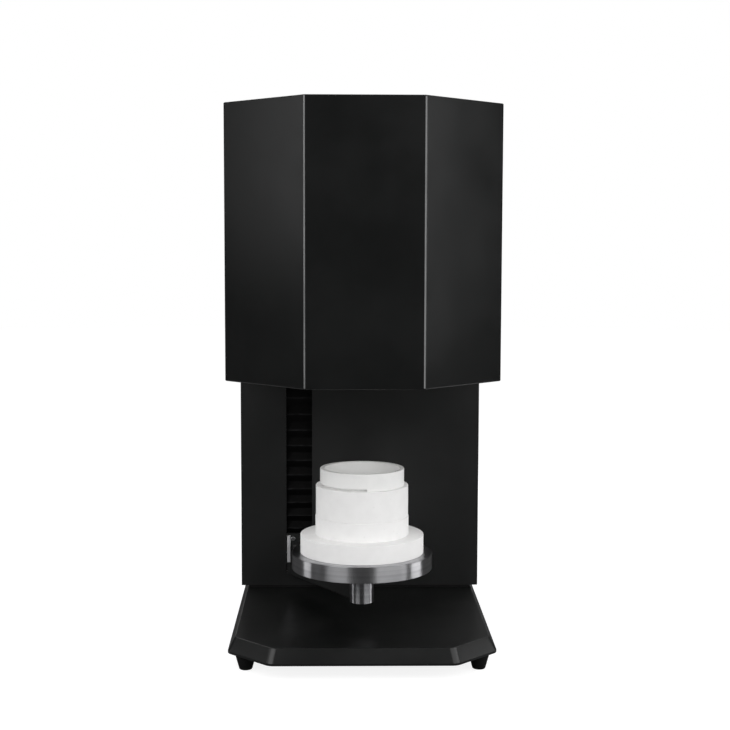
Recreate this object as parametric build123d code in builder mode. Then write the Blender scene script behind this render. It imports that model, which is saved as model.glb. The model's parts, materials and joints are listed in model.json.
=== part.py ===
from build123d import *
import math
import os

os.makedirs("parts", exist_ok=True)

# Bottom-loading sintering furnace for a dental laboratory. Millimetres, +Z up, +Y to the rear.
# The origin is on the bench, midway across the body and midway along its depth.

# ---------------------------------------------------------------- overall sizes
BODY_WIDTH = 360.0
BODY_HEIGHT = 745.0
HOOD_HEIGHT = 359.0
COLUMN_SETBACK = 383.0
COLUMN_DEPTH = 130.0

# ---------------------------------------------------------------- sheet metal
SHEET = 2.0
SEAM = 0.4
SCREW_R = 2.0
SCREW_HEAD_R = 3.8
SCREW_HEAD = 2.2
SCREW_DOME_R = 0.88
SCREW_CLEARANCE = 0.2
THREAD_CLEARANCE = 0.05
RECESS_LENGTH = 4.0
RECESS_WIDTH = 0.8
RECESS_DEPTH = 1.1
HOOD_FOLD_R = 4.0
HOOD_EDGE_R = 3.0
HOOD_FLANGE = 10.0
COVER_LIP = 6.0

# ---------------------------------------------------------------- base
FOOT_HEIGHT = 20.0
FOOT_TOP_R = 14.0
FOOT_BOTTOM_R = 8.5
FOOT_X_INSET = 24.5
FOOT_FRONT_INSET = 54.0
FOOT_REAR_INSET = 34.0
FOOT_EDGE_R = 1.5
LIP_HEIGHT = 3.0
SKIRT_HEIGHT = 18.0
SKIRT_FLARE = 9.7
BASE_CORNER = 57.6
BASE_SETBACK = 56.0
BASE_FOLD_R = 9.0
BASE_EDGE_R = 1.5
BASE_PLATE = 3.0
GASKET = 3.2
GASKET_WIDTH = 8.0

# ---------------------------------------------------------------- column
PANEL_FLANGE = 28.0
PANEL_EDGE_R = 1.2
POST_SIZE = 20.0
POST_INSET = 14.0
SLOT_INSET = 88.0
SLOT_WIDTH = 39.0
SLOT_BOTTOM = 66.0
VENT_LENGTH = 36.0
VENT_WIDTH = 4.0
VENT_PITCH = 10.0
TOP_VENT_COLUMNS = 3
TOP_VENT_ROWS = 13
REAR_VENT_COLUMNS = 2
REAR_VENT_ROWS = 8
SIDE_VENT_ROWS = 9
REAR_SCREW_ROWS = 4
REAR_SCREW_INSET = 20.0

# ---------------------------------------------------------------- lift
CLOSING_GAP = 3.0
PLATE_R = 96.5
PLATE_BOTTOM = 121.3
PLATE_THICKNESS = 21.8
PLATE_CHAMFER = 0.8
POST_R = 16.6
POST_LENGTH = 49.0
POST_CHAMFER = 1.2
ARM_TOP = 111.0
ARM_ROOT_BOTTOM = 62.0
ARM_TIP_BOTTOM = 75.5
ARM_WIDTH = 26.0
ARM_BAR_GAP = 1.6844
ARM_EDGE_R = 2.0
BRACKET_TOP = 125.7
BRACKET_BOTTOM = 64.0
BRACKET_SIDE_GAP = 1.5
BRACKET_THICKNESS = 9.0
BRACKET_GAP = 1.0
BRACKET_CORNER_R = 2.0
BRACKET_SCREW_LEFT = 9.0
BRACKET_SCREW_RIGHT = 7.0
BRACKET_SCREW_LENGTH = 8.0
BRACKET_SCREW_DOME_R = 0.66
HEX_R = 1.5
HEX_DEPTH = 1.3
BAR_BOTTOM = 82.3
BAR_TOP = 123.4
BAR_WIDTH = 5.0
BAR_THICKNESS = 11.0
BAR_CHAMFER = 0.6
STEM_BOTTOM = 92.0
STEM_TOP = 122.0
STEM_SIDE_GAP = 3.5
CARRIAGE_Y = 32.0
CARRIAGE_THICKNESS = 10.0
CARRIAGE_HEIGHT = 96.0
CARRIAGE_WIDTH = 130.0
CARRIAGE_BOTTOM = 70.0
CARRIAGE_CHAMFER = 2.0
RAIL_SPACING = 96.0
RAIL_SIZE = 15.0
RAIL_BOTTOM = 50.0
BLOCK_WIDTH = 34.0
BLOCK_HEIGHT = 40.0
BLOCK_SIDE_REACH = 10.0
BLOCK_CLEARANCE = 0.3
BACK_PLATE = 10.0
SCREW_SHAFT_R = 8.0
SCREW_END_R = 5.0
SCREW_END_LENGTH = 22.0
RUNNING_CLEARANCE = 0.05
NUT_WIDTH = 40.0
NUT_DEPTH = 28.0
NUT_HEIGHT = 40.0
BEARING_HEIGHT = 18.0
BEARING_FRONT_GAP = 2.0
BEARING_RISE = 3.0
BEARING_FLOOR = 3.0
TOP_BEARING_GAP = 4.0
MOTOR_SIZE = 57.0
MOTOR_HEIGHT = 76.0
MOTOR_CORNER_R = 4.0
MOTOR_SHELF = 3.0
MOTOR_SHELF_MARGIN = 3.0
MOTOR_SHELF_GAP = 4.0
MOTOR_SHAFT_R = 4.0
MOTOR_SHAFT_INSIDE = 60.0
SHAFT_GAP = 3.0
COUPLING_R = 12.0
COUPLING_HEIGHT = 32.0
COUPLING_GAP = 8.0
COUPLING_CHAMFER = 1.0
COUPLING_CLEARANCE = 2.0
BELLOWS_LAP = 3.5
BELLOWS_FABRIC = 0.8
BELLOWS_DEPTH = 8.0
LOWER_BELLOWS_FABRIC = 5.0
UPPER_BELLOWS_STACK = 36.0
UPPER_PLEATS = 12
LOWER_PLEATS = 9
BELLOWS_SAG = 0.18

# ---------------------------------------------------------------- pedestal and crucible
DISC_R = 84.5
DISC_HEIGHT = 25.2
LOWER_PAD_R = 63.9
LOWER_PAD_HEIGHT = 25.7
UPPER_PAD_R = 63.2
UPPER_PAD_HEIGHT = 42.4
CRUCIBLE_R = 57.4
CRUCIBLE_WALL = 6.2
CRUCIBLE_FLOOR = 5.0
CRUCIBLE_HEIGHT = 23.0
NOTCH_HEIGHT = 3.0
NOTCH_DEPTH = 4.5
NOTCH_START = 180.0
NOTCH_SWEEP = 96.0
FIBRE_EDGE_R = 1.0

# ---------------------------------------------------------------- furnace
MOUTH_GAP = 3.5
NECK_GAP = 2.6
MOUTH_HEAD_GAP = 4.7
HEATING_SPACE = 30.6
MUFFLE_HEIGHT = 140.0
RING_SEAM = 0.2
CAN_AIR_GAP = 26.0
CAN_WALL = 2.0
CAN_TOP_GAP = 1.0
TERMINAL_SPACE = 60.3
SHELF = 3.0
SHELF_INSET = 6.0
SHELF_FLANGE = 50.0
SHELF_RIB_INSET = 30.0
RIB_LENGTH = 60.0
ELEMENT_WALL_GAP = 12.0
ELEMENT_SPAN = 30.0
ELEMENT_ROD_R = 3.0
ELEMENT_TERMINAL_R = 6.0
ELEMENT_BOTTOM_GAP = 14.0
ELEMENT_TERMINAL_DROP = 5.0
ELEMENT_STICK_OUT = 34.0
ELEMENT_ANGLES = (45, 135, 225, 315)
TERMINAL_CLEARANCE = 0.5
HOLDER_CLEARANCE = 0.2
HOLDER_WIDTH = 22.0
HOLDER_LENGTH = 56.0
HOLDER_HEIGHT = 16.0
STRAP_WIDTH = 20.0
STRAP_THICKNESS = 3.0
STRAP_GAP = 5.0
PROBE_R = 4.0
PROBE_DROP = 30.0
PROBE_HEAD_R = 16.0
PROBE_HEAD_HEIGHT = 26.0
PROBE_HEAD_EDGE_R = 2.0
PROBE_TIP_R = 3.2

# ---------------------------------------------------------------- rear and electrics
FAN_SIZE = 80.0
FAN_DEPTH = 25.0
FAN_SIDE_GAP = 31.0
FAN_DROP = 105.0
FAN_BORE_R = 38.0
FAN_HUB_R = 17.0
FAN_BLADE_R = 36.5
FAN_BLADES = 7
FAN_BLADE_TILT = 35.0
FAN_BLADE_THICKNESS = 1.6
FAN_BLADE_MARGIN = 2.0
FAN_BLADE_ROOT = 2.0
FAN_SHAFT_R = 1.5
FAN_PLATE = 4.0
FAN_CORNER_R = 4.0
GUARD_THICKNESS = 4.0
GUARD_EYE_R = 4.0
GUARD_WIRE = 1.6
GUARD_RINGS = (39.0, 30.0, 21.0, 12.0)
INLET_SIDE_GAP = 13.0
INLET_RISE = 59.8
INLET_WIDTH = 46.0
INLET_HEIGHT = 58.0
INLET_FLANGE = 3.0
INLET_FLANGE_THICKNESS = 2.0
INLET_DEPTH = 26.0
SOCKET_Z = -13.0
SOCKET_WIDTH = 26.0
SOCKET_HEIGHT = 19.0
SOCKET_DEPTH = 17.0
PIN_SPACING = 14.0
PIN_SHIFT = 2.0
PIN_THICKNESS = 2.0
PIN_WIDTH = 4.0
PIN_LENGTH = 14.0
ROCKER_Z = 15.0
ROCKER_WIDTH = 20.0
ROCKER_HALF_HEIGHT = 9.0
ROCKER_PROUD = 0.7
ROCKER_CENTRE_PROUD = -0.4
ROCKER_PIVOT_DEPTH = 3.0
ROCKER_BOTTOM_GAP = 2.0
ROCKER_DEPTH = 7.0
ROCKER_TAPER = 2.0
ROCKER_SIDE_GAP = 0.5
ROCKER_END_GAP = 1.4
ROCKER_PIN_R = 1.5
ROCKER_PIN_LENGTH = 2.0
ROCKER_TILT = 8.0
TRANSFORMER_SIDE_GAP = 16.0
TRANSFORMER_LEFT_GAP = 4.0
TRANSFORMER_WIDTH = 120.0
TRANSFORMER_DEPTH = 70.0
TRANSFORMER_HEIGHT = 100.0
TRANSFORMER_LIMB = 22.0
COIL_OVERHANG = 12.0
BOARD_SIDE_GAP = 26.0
BOARD_GAP = 15.0
BOARD_WIDTH = 120.0
BOARD_HEIGHT = 170.0
BOARD_THICKNESS = 1.6
STANDOFF_HEIGHT = 12.0
STANDOFF_R = 3.0
STANDOFF_INSET = 6.0
COMPONENT_COLUMNS = 3
COMPONENT_ROWS = 3
COMPONENT_PITCH_X = 40.0
COMPONENT_PITCH_Z = 42.5
COMPONENT_SIZE = 24.0
SINK_GAP = 27.0
SINK_WIDTH = 70.0
SINK_HEIGHT = 60.0
SINK_BASE = 6.0
SINK_FIN = 18.0
SINK_FINS = 8
SINK_FIN_THICKNESS = 2.0
RELAY_WIDTH = 45.0
RELAY_HEIGHT = 58.0
RELAY_DEPTH = 22.0
RELAY_CORNER_R = 2.0

# ---------------------------------------------------------------- worked out from the above
HALF_WIDTH = BODY_WIDTH / 2
BODY_DEPTH = COLUMN_SETBACK + COLUMN_DEPTH + GUARD_THICKNESS
FRONT_Y = -BODY_DEPTH / 2
AXIS_Y = FRONT_Y + HALF_WIDTH
COLUMN_Y = FRONT_Y + COLUMN_SETBACK
REAR_Y = COLUMN_Y + COLUMN_DEPTH
HOOD_Z = BODY_HEIGHT - HOOD_HEIGHT
TOP_SHEET_Z = BODY_HEIGHT - SHEET
BASE_TOP = FOOT_HEIGHT + LIP_HEIGHT + SKIRT_HEIGHT
BASE_FRONT_Y = FRONT_Y + BASE_SETBACK
BASE_PLATE_TOP = FOOT_HEIGHT + BASE_PLATE
PANEL_Z = BASE_TOP + GASKET
PLATE_TOP = PLATE_BOTTOM + PLATE_THICKNESS
TRAVEL = HOOD_Z - CLOSING_GAP - PLATE_TOP
SLOT_TOP = STEM_TOP + TRAVEL + UPPER_BELLOWS_STACK
INNER_WIDTH = HALF_WIDTH - SHEET - SEAM
SLOT_X = SLOT_INSET - HALF_WIDTH
FRAME_X = HALF_WIDTH - POST_INSET - POST_SIZE / 2
FRAME_INSIDE = FRAME_X - POST_SIZE / 2
FRAME_FRONT_Y = COLUMN_Y + 2 * SHEET + POST_SIZE / 2
FRAME_REAR_Y = REAR_Y - 2 * SHEET - POST_SIZE / 2
FRAME_CORNERS = [(x, y) for x in (-FRAME_X, FRAME_X) for y in (FRAME_FRONT_Y, FRAME_REAR_Y)]
DISC_Z = PLATE_TOP
LOWER_PAD_Z = DISC_Z + DISC_HEIGHT
UPPER_PAD_Z = LOWER_PAD_Z + LOWER_PAD_HEIGHT
CRUCIBLE_Z = UPPER_PAD_Z + UPPER_PAD_HEIGHT
SHELF_Z = HOOD_Z + 2 * SHEET
FURNACE_Z = SHELF_Z + SHELF
MOUTH_R = DISC_R + MOUTH_GAP
NECK_R = max(LOWER_PAD_R, UPPER_PAD_R, CRUCIBLE_R) + NECK_GAP
NECK_Z = LOWER_PAD_Z + TRAVEL + MOUTH_HEAD_GAP
MUFFLE_Z = CRUCIBLE_Z + TRAVEL - NECK_GAP
MUFFLE_R = CRUCIBLE_R + HEATING_SPACE
FIBRE_R = min(HALF_WIDTH, COLUMN_Y - AXIS_Y) - SHEET - CAN_AIR_GAP - CAN_WALL
ELEMENT_RADIUS = MUFFLE_R - ELEMENT_WALL_GAP
ROOF_Z = MUFFLE_Z + MUFFLE_HEIGHT
LID_Z = BODY_HEIGHT - TERMINAL_SPACE
HOLDER_Z = LID_Z + CAN_WALL
STRAP_Z = HOLDER_Z + HOLDER_HEIGHT + STRAP_GAP
CARRIAGE_FRONT = COLUMN_Y + CARRIAGE_Y
CARRIAGE_REAR = CARRIAGE_FRONT + CARRIAGE_THICKNESS
SCREW_Y = CARRIAGE_REAR + NUT_DEPTH / 2
RAIL_FRONT = SCREW_Y
RAIL_REAR = RAIL_FRONT + RAIL_SIZE
RAIL_XS = (SLOT_X - RAIL_SPACING / 2, SLOT_X + RAIL_SPACING / 2)
CARRIAGE_TOP = CARRIAGE_BOTTOM + CARRIAGE_HEIGHT
TOP_BEARING_Z = CARRIAGE_TOP + TRAVEL + TOP_BEARING_GAP
SHAFT_END_Z = TOP_BEARING_Z + BEARING_HEIGHT + SCREW_END_LENGTH
COUPLING_Z = TOP_BEARING_Z + BEARING_HEIGHT + COUPLING_GAP
MOTOR_SHELF_Z = COUPLING_Z + COUPLING_HEIGHT + MOTOR_SHELF_GAP
MOTOR_Z = MOTOR_SHELF_Z + MOTOR_SHELF
BRACKET_REAR = COLUMN_Y - BRACKET_GAP
BRACKET_FRONT = BRACKET_REAR - BRACKET_THICKNESS
BRACKET_WIDTH = SLOT_WIDTH - 2 * BRACKET_SIDE_GAP
BRACKET_LEFT = SLOT_X - BRACKET_WIDTH / 2
BRACKET_RIGHT = SLOT_X + BRACKET_WIDTH / 2
BELLOWS_WIDTH = SLOT_WIDTH + 2 * BELLOWS_LAP
BAR_RIGHT = BRACKET_LEFT + BAR_WIDTH
FAN_FRONT = REAR_Y - SHEET - FAN_DEPTH
FAN_X = FRAME_INSIDE - FAN_SIDE_GAP - FAN_SIZE / 2
FAN_Z = BODY_HEIGHT - FAN_DROP
INLET_X = FRAME_INSIDE - INLET_SIDE_GAP - INLET_WIDTH / 2
INLET_Z = PANEL_Z + INLET_RISE
CARRIAGE_RIGHT = SLOT_X + CARRIAGE_WIDTH / 2
TRANSFORMER_X = max(
    FRAME_INSIDE - TRANSFORMER_SIDE_GAP - TRANSFORMER_WIDTH / 2,
    CARRIAGE_RIGHT + TRANSFORMER_LEFT_GAP + TRANSFORMER_WIDTH / 2,
)
BOARD_X = FRAME_INSIDE - BOARD_SIDE_GAP - BOARD_WIDTH / 2
RELAY_Z = INLET_Z + INLET_HEIGHT / 2 + SINK_GAP + SINK_HEIGHT / 2
BOARD_Z = RELAY_Z + SINK_HEIGHT / 2 + BOARD_GAP + BOARD_HEIGHT / 2


def hood_outline(inset, back_y):
    """Plan of the hood: the front half of an octagon round the lift axis, drawn in by inset."""
    apothem = HALF_WIDTH - inset
    side = apothem * math.tan(math.pi / 8)
    front = AXIS_Y - apothem
    return [
        (-apothem, back_y),
        (-apothem, AXIS_Y - side),
        (-side, front),
        (side, front),
        (apothem, AXIS_Y - side),
        (apothem, back_y),
    ]


def base_outline(inset, rear_inset=0.0):
    """Plan of the base: a rectangle with its two front corners cut at 45 degrees."""
    corner = BASE_CORNER - inset * (2 - math.sqrt(2))
    half = HALF_WIDTH - inset
    front = BASE_FRONT_Y + inset
    rear = REAR_Y - rear_inset
    return [
        (-half, rear),
        (-half, front + corner),
        (-half + corner, front),
        (half - corner, front),
        (half, front + corner),
        (half, rear),
    ]


def outline_face(points, height, fold_radius=0.0):
    """Closed face on a level plane, with its front folds rounded."""
    with BuildSketch(Plane.XY.offset(height)) as sketch:
        with BuildLine():
            Polyline(*points, close=True)
        make_face()
        if fold_radius > 0:
            levels = sketch.vertices().group_by(Axis.Y)
            fillet(levels[0] + levels[1], radius=fold_radius)
    return sketch.sketch


def facing_front(y):
    """Plane facing the front at depth y, so that its own x and y are the frame's X and Z."""
    return Plane(origin=(0, y, 0), x_dir=(1, 0, 0), z_dir=(0, -1, 0))


# ================================================================ base
with BuildPart() as base_cover:
    INNER_FOLD_R = BASE_FOLD_R - SHEET
    SKIRT_Z = FOOT_HEIGHT + LIP_HEIGHT
    extrude(outline_face(base_outline(0), FOOT_HEIGHT, BASE_FOLD_R), amount=LIP_HEIGHT)
    skirt_foot = outline_face(base_outline(0), SKIRT_Z, BASE_FOLD_R)
    skirt_top = outline_face(base_outline(SKIRT_FLARE), BASE_TOP, BASE_FOLD_R)
    loft([skirt_foot, skirt_top], ruled=True)
    top_edges = base_cover.faces().sort_by(Axis.Z)[-1].edges()
    fillet(top_edges.sort_by(Axis.Y)[:-1], radius=BASE_EDGE_R)
    inner_lip = outline_face(base_outline(SHEET, SHEET), FOOT_HEIGHT, INNER_FOLD_R)
    extrude(inner_lip, amount=LIP_HEIGHT, mode=Mode.SUBTRACT)
    inner_foot = outline_face(base_outline(SHEET, SHEET), SKIRT_Z, INNER_FOLD_R)
    inner_top = outline_face(base_outline(SKIRT_FLARE + SHEET, SHEET), BASE_TOP - SHEET, INNER_FOLD_R)
    loft([inner_foot, inner_top], ruled=True, mode=Mode.SUBTRACT)
    with BuildSketch(Plane.XY.offset(BASE_TOP)):
        with Locations(*FRAME_CORNERS):
            Rectangle(POST_SIZE + 2 * SEAM, POST_SIZE + 2 * SEAM)
    extrude(amount=-2 * SHEET, mode=Mode.SUBTRACT)
base_cover.part.label = "base_cover"

with BuildPart() as base_plate:
    plate_face = outline_face(base_outline(SHEET + SEAM, SHEET + SEAM), FOOT_HEIGHT, INNER_FOLD_R)
    extrude(plate_face, amount=BASE_PLATE)
base_plate.part.label = "base_plate"

FOOT_X = HALF_WIDTH - FOOT_X_INSET
FOOT_FRONT_Y = BASE_FRONT_Y + FOOT_FRONT_INSET
FOOT_REAR_Y = REAR_Y - FOOT_REAR_INSET
FOOT_PLACES = {
    "foot_front_left": (-FOOT_X, FOOT_FRONT_Y),
    "foot_front_right": (FOOT_X, FOOT_FRONT_Y),
    "foot_rear_left": (-FOOT_X, FOOT_REAR_Y),
    "foot_rear_right": (FOOT_X, FOOT_REAR_Y),
}
feet = []
for foot_name, (foot_x, foot_y) in FOOT_PLACES.items():
    with BuildPart() as foot:
        with BuildSketch(Plane((foot_x, foot_y, 0))):
            Circle(FOOT_BOTTOM_R)
        with BuildSketch(Plane((foot_x, foot_y, FOOT_HEIGHT))):
            Circle(FOOT_TOP_R)
        loft()
        fillet(foot.edges().sort_by(Axis.Z)[0], radius=FOOT_EDGE_R)
    foot.part.label = foot_name
    feet.append(foot)

with BuildPart() as column_gasket:
    GASKET_HALF = HALF_WIDTH - SKIRT_FLARE - GASKET / 2
    GASKET_FRONT = COLUMN_Y + SHEET / 2
    GASKET_REAR = REAR_Y - SHEET
    with BuildSketch(Plane((0, (GASKET_FRONT + GASKET_REAR) / 2, BASE_TOP))):
        Rectangle(2 * GASKET_HALF, GASKET_REAR - GASKET_FRONT)
        Rectangle(
            2 * (GASKET_HALF - GASKET_WIDTH),
            GASKET_REAR - GASKET_FRONT - 2 * GASKET_WIDTH,
            mode=Mode.SUBTRACT,
        )
        with Locations(*[(x, y - (GASKET_FRONT + GASKET_REAR) / 2) for x, y in FRAME_CORNERS]):
            Rectangle(POST_SIZE + 2 * SEAM, POST_SIZE + 2 * SEAM, mode=Mode.SUBTRACT)
    extrude(amount=GASKET)
column_gasket.part.label = "column_gasket"

# ================================================================ column
REAR_SCREW_FOOT = PANEL_Z + REAR_SCREW_INSET
REAR_SCREW_PITCH = (TOP_SHEET_Z - REAR_SCREW_INSET - REAR_SCREW_FOOT) / (REAR_SCREW_ROWS - 1)
REAR_SCREW_HEIGHTS = [REAR_SCREW_FOOT + k * REAR_SCREW_PITCH for k in range(REAR_SCREW_ROWS)]
REAR_SCREWS = [(x, z) for x in (-FRAME_X, FRAME_X) for z in REAR_SCREW_HEIGHTS]

with BuildPart() as frame_posts:
    with BuildSketch(Plane.XY.offset(BASE_PLATE_TOP)):
        with Locations(*FRAME_CORNERS):
            Rectangle(POST_SIZE, POST_SIZE)
            Rectangle(POST_SIZE - 2 * SHEET, POST_SIZE - 2 * SHEET, mode=Mode.SUBTRACT)
    extrude(amount=TOP_SHEET_Z - BASE_PLATE_TOP)
    with BuildSketch(facing_front(FRAME_REAR_Y)):
        with Locations(*REAR_SCREWS):
            Circle(SCREW_R + THREAD_CLEARANCE)
    extrude(amount=-POST_SIZE, mode=Mode.SUBTRACT)
frame_posts.part.label = "frame_posts"

side_panels = []
for side_name, side in (("column_left_panel", -1), ("column_right_panel", 1)):
    with BuildPart() as panel:
        web_x = side * (HALF_WIDTH - SHEET / 2)
        with BuildSketch(Plane((web_x, (COLUMN_Y + REAR_Y) / 2, PANEL_Z))):
            Rectangle(SHEET, COLUMN_DEPTH)
        extrude(amount=BODY_HEIGHT - PANEL_Z)
        flange_x = side * (HALF_WIDTH - SHEET - PANEL_FLANGE / 2)
        for flange_y in (COLUMN_Y + 3 * SHEET / 2, REAR_Y - 3 * SHEET / 2):
            with BuildSketch(Plane((flange_x, flange_y, PANEL_Z))):
                Rectangle(PANEL_FLANGE, SHEET)
            extrude(amount=TOP_SHEET_Z - PANEL_Z)
        with BuildSketch(facing_front(REAR_Y)):
            with Locations(*[(side * FRAME_X, z) for z in REAR_SCREW_HEIGHTS]):
                Circle(SCREW_R + SCREW_CLEARANCE)
        extrude(amount=2 * SHEET, mode=Mode.SUBTRACT)
        vent_plane = Plane(
            origin=(side * HALF_WIDTH, (COLUMN_Y + REAR_Y) / 2, FAN_Z),
            x_dir=(0, 1, 0),
            z_dir=(1, 0, 0),
        )
        with BuildSketch(vent_plane):
            with GridLocations(0, VENT_PITCH, 1, SIDE_VENT_ROWS):
                SlotOverall(2 * VENT_LENGTH, VENT_WIDTH)
        extrude(amount=SHEET, both=True, mode=Mode.SUBTRACT)
        corner_edges = panel.edges().filter_by(Axis.Z).group_by(Axis.X)[0 if side < 0 else -1]
        full_height = corner_edges.filter_by(lambda edge: edge.length > BODY_HEIGHT / 2)
        fillet(full_height, radius=PANEL_EDGE_R)
    panel.part.label = side_name
    side_panels.append(panel)

with BuildPart() as column_front_panel:
    with BuildSketch(facing_front(COLUMN_Y + SHEET)):
        with Locations((0, (PANEL_Z + TOP_SHEET_Z) / 2)):
            Rectangle(2 * INNER_WIDTH, TOP_SHEET_Z - PANEL_Z)
        with Locations((SLOT_X, (SLOT_BOTTOM + SLOT_TOP) / 2)):
            Rectangle(SLOT_WIDTH, SLOT_TOP - SLOT_BOTTOM, mode=Mode.SUBTRACT)
    extrude(amount=SHEET)
column_front_panel.part.label = "column_front_panel"

INLET_CUT_WIDTH = INLET_WIDTH + 2 * SEAM
INLET_CUT_HEIGHT = INLET_HEIGHT + 2 * SEAM
with BuildPart() as rear_panel:
    with BuildSketch(facing_front(REAR_Y)):
        with Locations((0, (PANEL_Z + TOP_SHEET_Z) / 2)):
            Rectangle(2 * INNER_WIDTH, TOP_SHEET_Z - PANEL_Z)
        with Locations((FAN_X, FAN_Z)):
            Circle(FAN_BORE_R, mode=Mode.SUBTRACT)
        with Locations((INLET_X, INLET_Z)):
            Rectangle(INLET_CUT_WIDTH, INLET_CUT_HEIGHT, mode=Mode.SUBTRACT)
        with Locations(*REAR_SCREWS):
            Circle(SCREW_R + SCREW_CLEARANCE, mode=Mode.SUBTRACT)
        with Locations((-FAN_X, FAN_Z)):
            with GridLocations(VENT_LENGTH + VENT_PITCH, VENT_PITCH, REAR_VENT_COLUMNS, REAR_VENT_ROWS):
                SlotOverall(VENT_LENGTH, VENT_WIDTH, mode=Mode.SUBTRACT)
        with Locations((-FAN_X, INLET_Z + VENT_PITCH)):
            with GridLocations(VENT_LENGTH + VENT_PITCH, VENT_PITCH, REAR_VENT_COLUMNS, REAR_VENT_ROWS):
                SlotOverall(VENT_LENGTH, VENT_WIDTH, mode=Mode.SUBTRACT)
    extrude(amount=SHEET)
rear_panel.part.label = "rear_panel"

with BuildPart() as rear_screws:
    with BuildSketch(facing_front(REAR_Y)):
        with Locations(*REAR_SCREWS):
            Circle(SCREW_HEAD_R)
    extrude(amount=-SCREW_HEAD)
    with BuildSketch(facing_front(REAR_Y)):
        with Locations(*REAR_SCREWS):
            Circle(SCREW_R)
    extrude(amount=3 * SHEET)
    fillet(rear_screws.edges().group_by(Axis.Y)[-1], radius=SCREW_DOME_R)
    with BuildSketch(facing_front(REAR_Y + SCREW_HEAD)):
        with Locations(*REAR_SCREWS):
            Rectangle(RECESS_LENGTH, RECESS_WIDTH)
            Rectangle(RECESS_WIDTH, RECESS_LENGTH)
    extrude(amount=RECESS_DEPTH, mode=Mode.SUBTRACT)
rear_screws.part.label = "rear_screws"

# ================================================================ hood
with BuildPart() as hood_shell:
    extrude(outline_face(hood_outline(0, COLUMN_Y - SEAM), HOOD_Z, HOOD_FOLD_R), amount=HOOD_HEIGHT)
    for rim in (hood_shell.faces().sort_by(Axis.Z)[-1], hood_shell.faces().sort_by(Axis.Z)[0]):
        fillet(rim.edges().sort_by(Axis.Y)[:-1], radius=HOOD_EDGE_R)
    inside = outline_face(hood_outline(SHEET, COLUMN_Y), HOOD_Z + SHEET, HOOD_FOLD_R - SHEET)
    extrude(inside, amount=HOOD_HEIGHT - 2 * SHEET, mode=Mode.SUBTRACT)
    open_ends = outline_face(hood_outline(HOOD_FLANGE, COLUMN_Y), HOOD_Z)
    extrude(open_ends, amount=HOOD_HEIGHT, mode=Mode.SUBTRACT)
hood_shell.part.label = "hood_shell"

COVER_INSET = HOOD_FLANGE + SEAM
with BuildPart() as top_cover:
    extrude(outline_face(hood_outline(COVER_INSET, COLUMN_Y + SEAM), TOP_SHEET_Z), amount=SHEET)
    with BuildSketch(Plane((0, (COLUMN_Y + REAR_Y - SHEET) / 2, TOP_SHEET_Z))):
        Rectangle(2 * INNER_WIDTH, COLUMN_DEPTH - SHEET - 2 * SEAM)
    extrude(amount=SHEET)
    extrude(outline_face(hood_outline(COVER_INSET, COLUMN_Y - SEAM), TOP_SHEET_Z), amount=-COVER_LIP)
    cover_inside = outline_face(hood_outline(COVER_INSET + SHEET, COLUMN_Y), TOP_SHEET_Z)
    extrude(cover_inside, amount=-COVER_LIP, mode=Mode.SUBTRACT)
    with BuildSketch(Plane((0, AXIS_Y, TOP_SHEET_Z))):
        with GridLocations(VENT_LENGTH + VENT_PITCH, VENT_PITCH, TOP_VENT_COLUMNS, TOP_VENT_ROWS):
            SlotOverall(VENT_LENGTH, VENT_WIDTH)
    extrude(amount=SHEET, mode=Mode.SUBTRACT)
top_cover.part.label = "top_cover"

with BuildPart() as hood_bottom_plate:
    extrude(outline_face(hood_outline(SHEET + SEAM, COLUMN_Y - SEAM), HOOD_Z + SHEET), amount=SHEET)
    with BuildSketch(Plane((0, AXIS_Y, HOOD_Z + SHEET))):
        Circle(MOUTH_R + SHEET)
    extrude(amount=SHEET, mode=Mode.SUBTRACT)
hood_bottom_plate.part.label = "hood_bottom_plate"

SHELF_HALF_WIDTH = HALF_WIDTH - SHELF_RIB_INSET
with BuildPart() as furnace_shelf:
    extrude(outline_face(hood_outline(SHELF_INSET, COLUMN_Y - SHEET), SHELF_Z), amount=SHELF)
    with BuildSketch(Plane((0, COLUMN_Y - SHELF / 2, SHELF_Z))):
        Rectangle(2 * SHELF_HALF_WIDTH, SHELF)
    extrude(amount=SHELF_FLANGE)
    for rib_x in (-SHELF_HALF_WIDTH + SHELF / 2, SHELF_HALF_WIDTH - SHELF / 2):
        with BuildSketch(Plane(origin=(rib_x, 0, 0), x_dir=(0, 1, 0), z_dir=(1, 0, 0))):
            with BuildLine():
                Polyline(
                    (COLUMN_Y - SHELF, SHELF_Z + SHELF),
                    (COLUMN_Y - SHELF, SHELF_Z + SHELF_FLANGE),
                    (COLUMN_Y - SHELF - RIB_LENGTH, SHELF_Z + SHELF),
                    close=True,
                )
            make_face()
        extrude(amount=SHELF / 2, both=True)
    with BuildSketch(Plane((0, AXIS_Y, SHELF_Z))):
        Circle(MOUTH_R + SHEET)
    extrude(amount=SHELF, mode=Mode.SUBTRACT)
furnace_shelf.part.label = "furnace_shelf"

# ================================================================ furnace
def leg_places(angle):
    """The two leg centres of the heating element that stands at this angle round the muffle."""
    turn = math.radians(angle)
    places = []
    for along in (-ELEMENT_SPAN / 2, ELEMENT_SPAN / 2):
        x = ELEMENT_RADIUS * math.cos(turn) - along * math.sin(turn)
        y = ELEMENT_RADIUS * math.sin(turn) + along * math.cos(turn)
        places.append((x, y))
    return places


ALL_LEGS = [place for angle in ELEMENT_ANGLES for place in leg_places(angle)]

with BuildPart() as furnace_can:
    with BuildSketch(Plane((0, AXIS_Y, FURNACE_Z))):
        Circle(FIBRE_R + CAN_WALL)
        Circle(FIBRE_R, mode=Mode.SUBTRACT)
    extrude(amount=LID_Z - FURNACE_Z)
furnace_can.part.label = "furnace_can"

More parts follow.
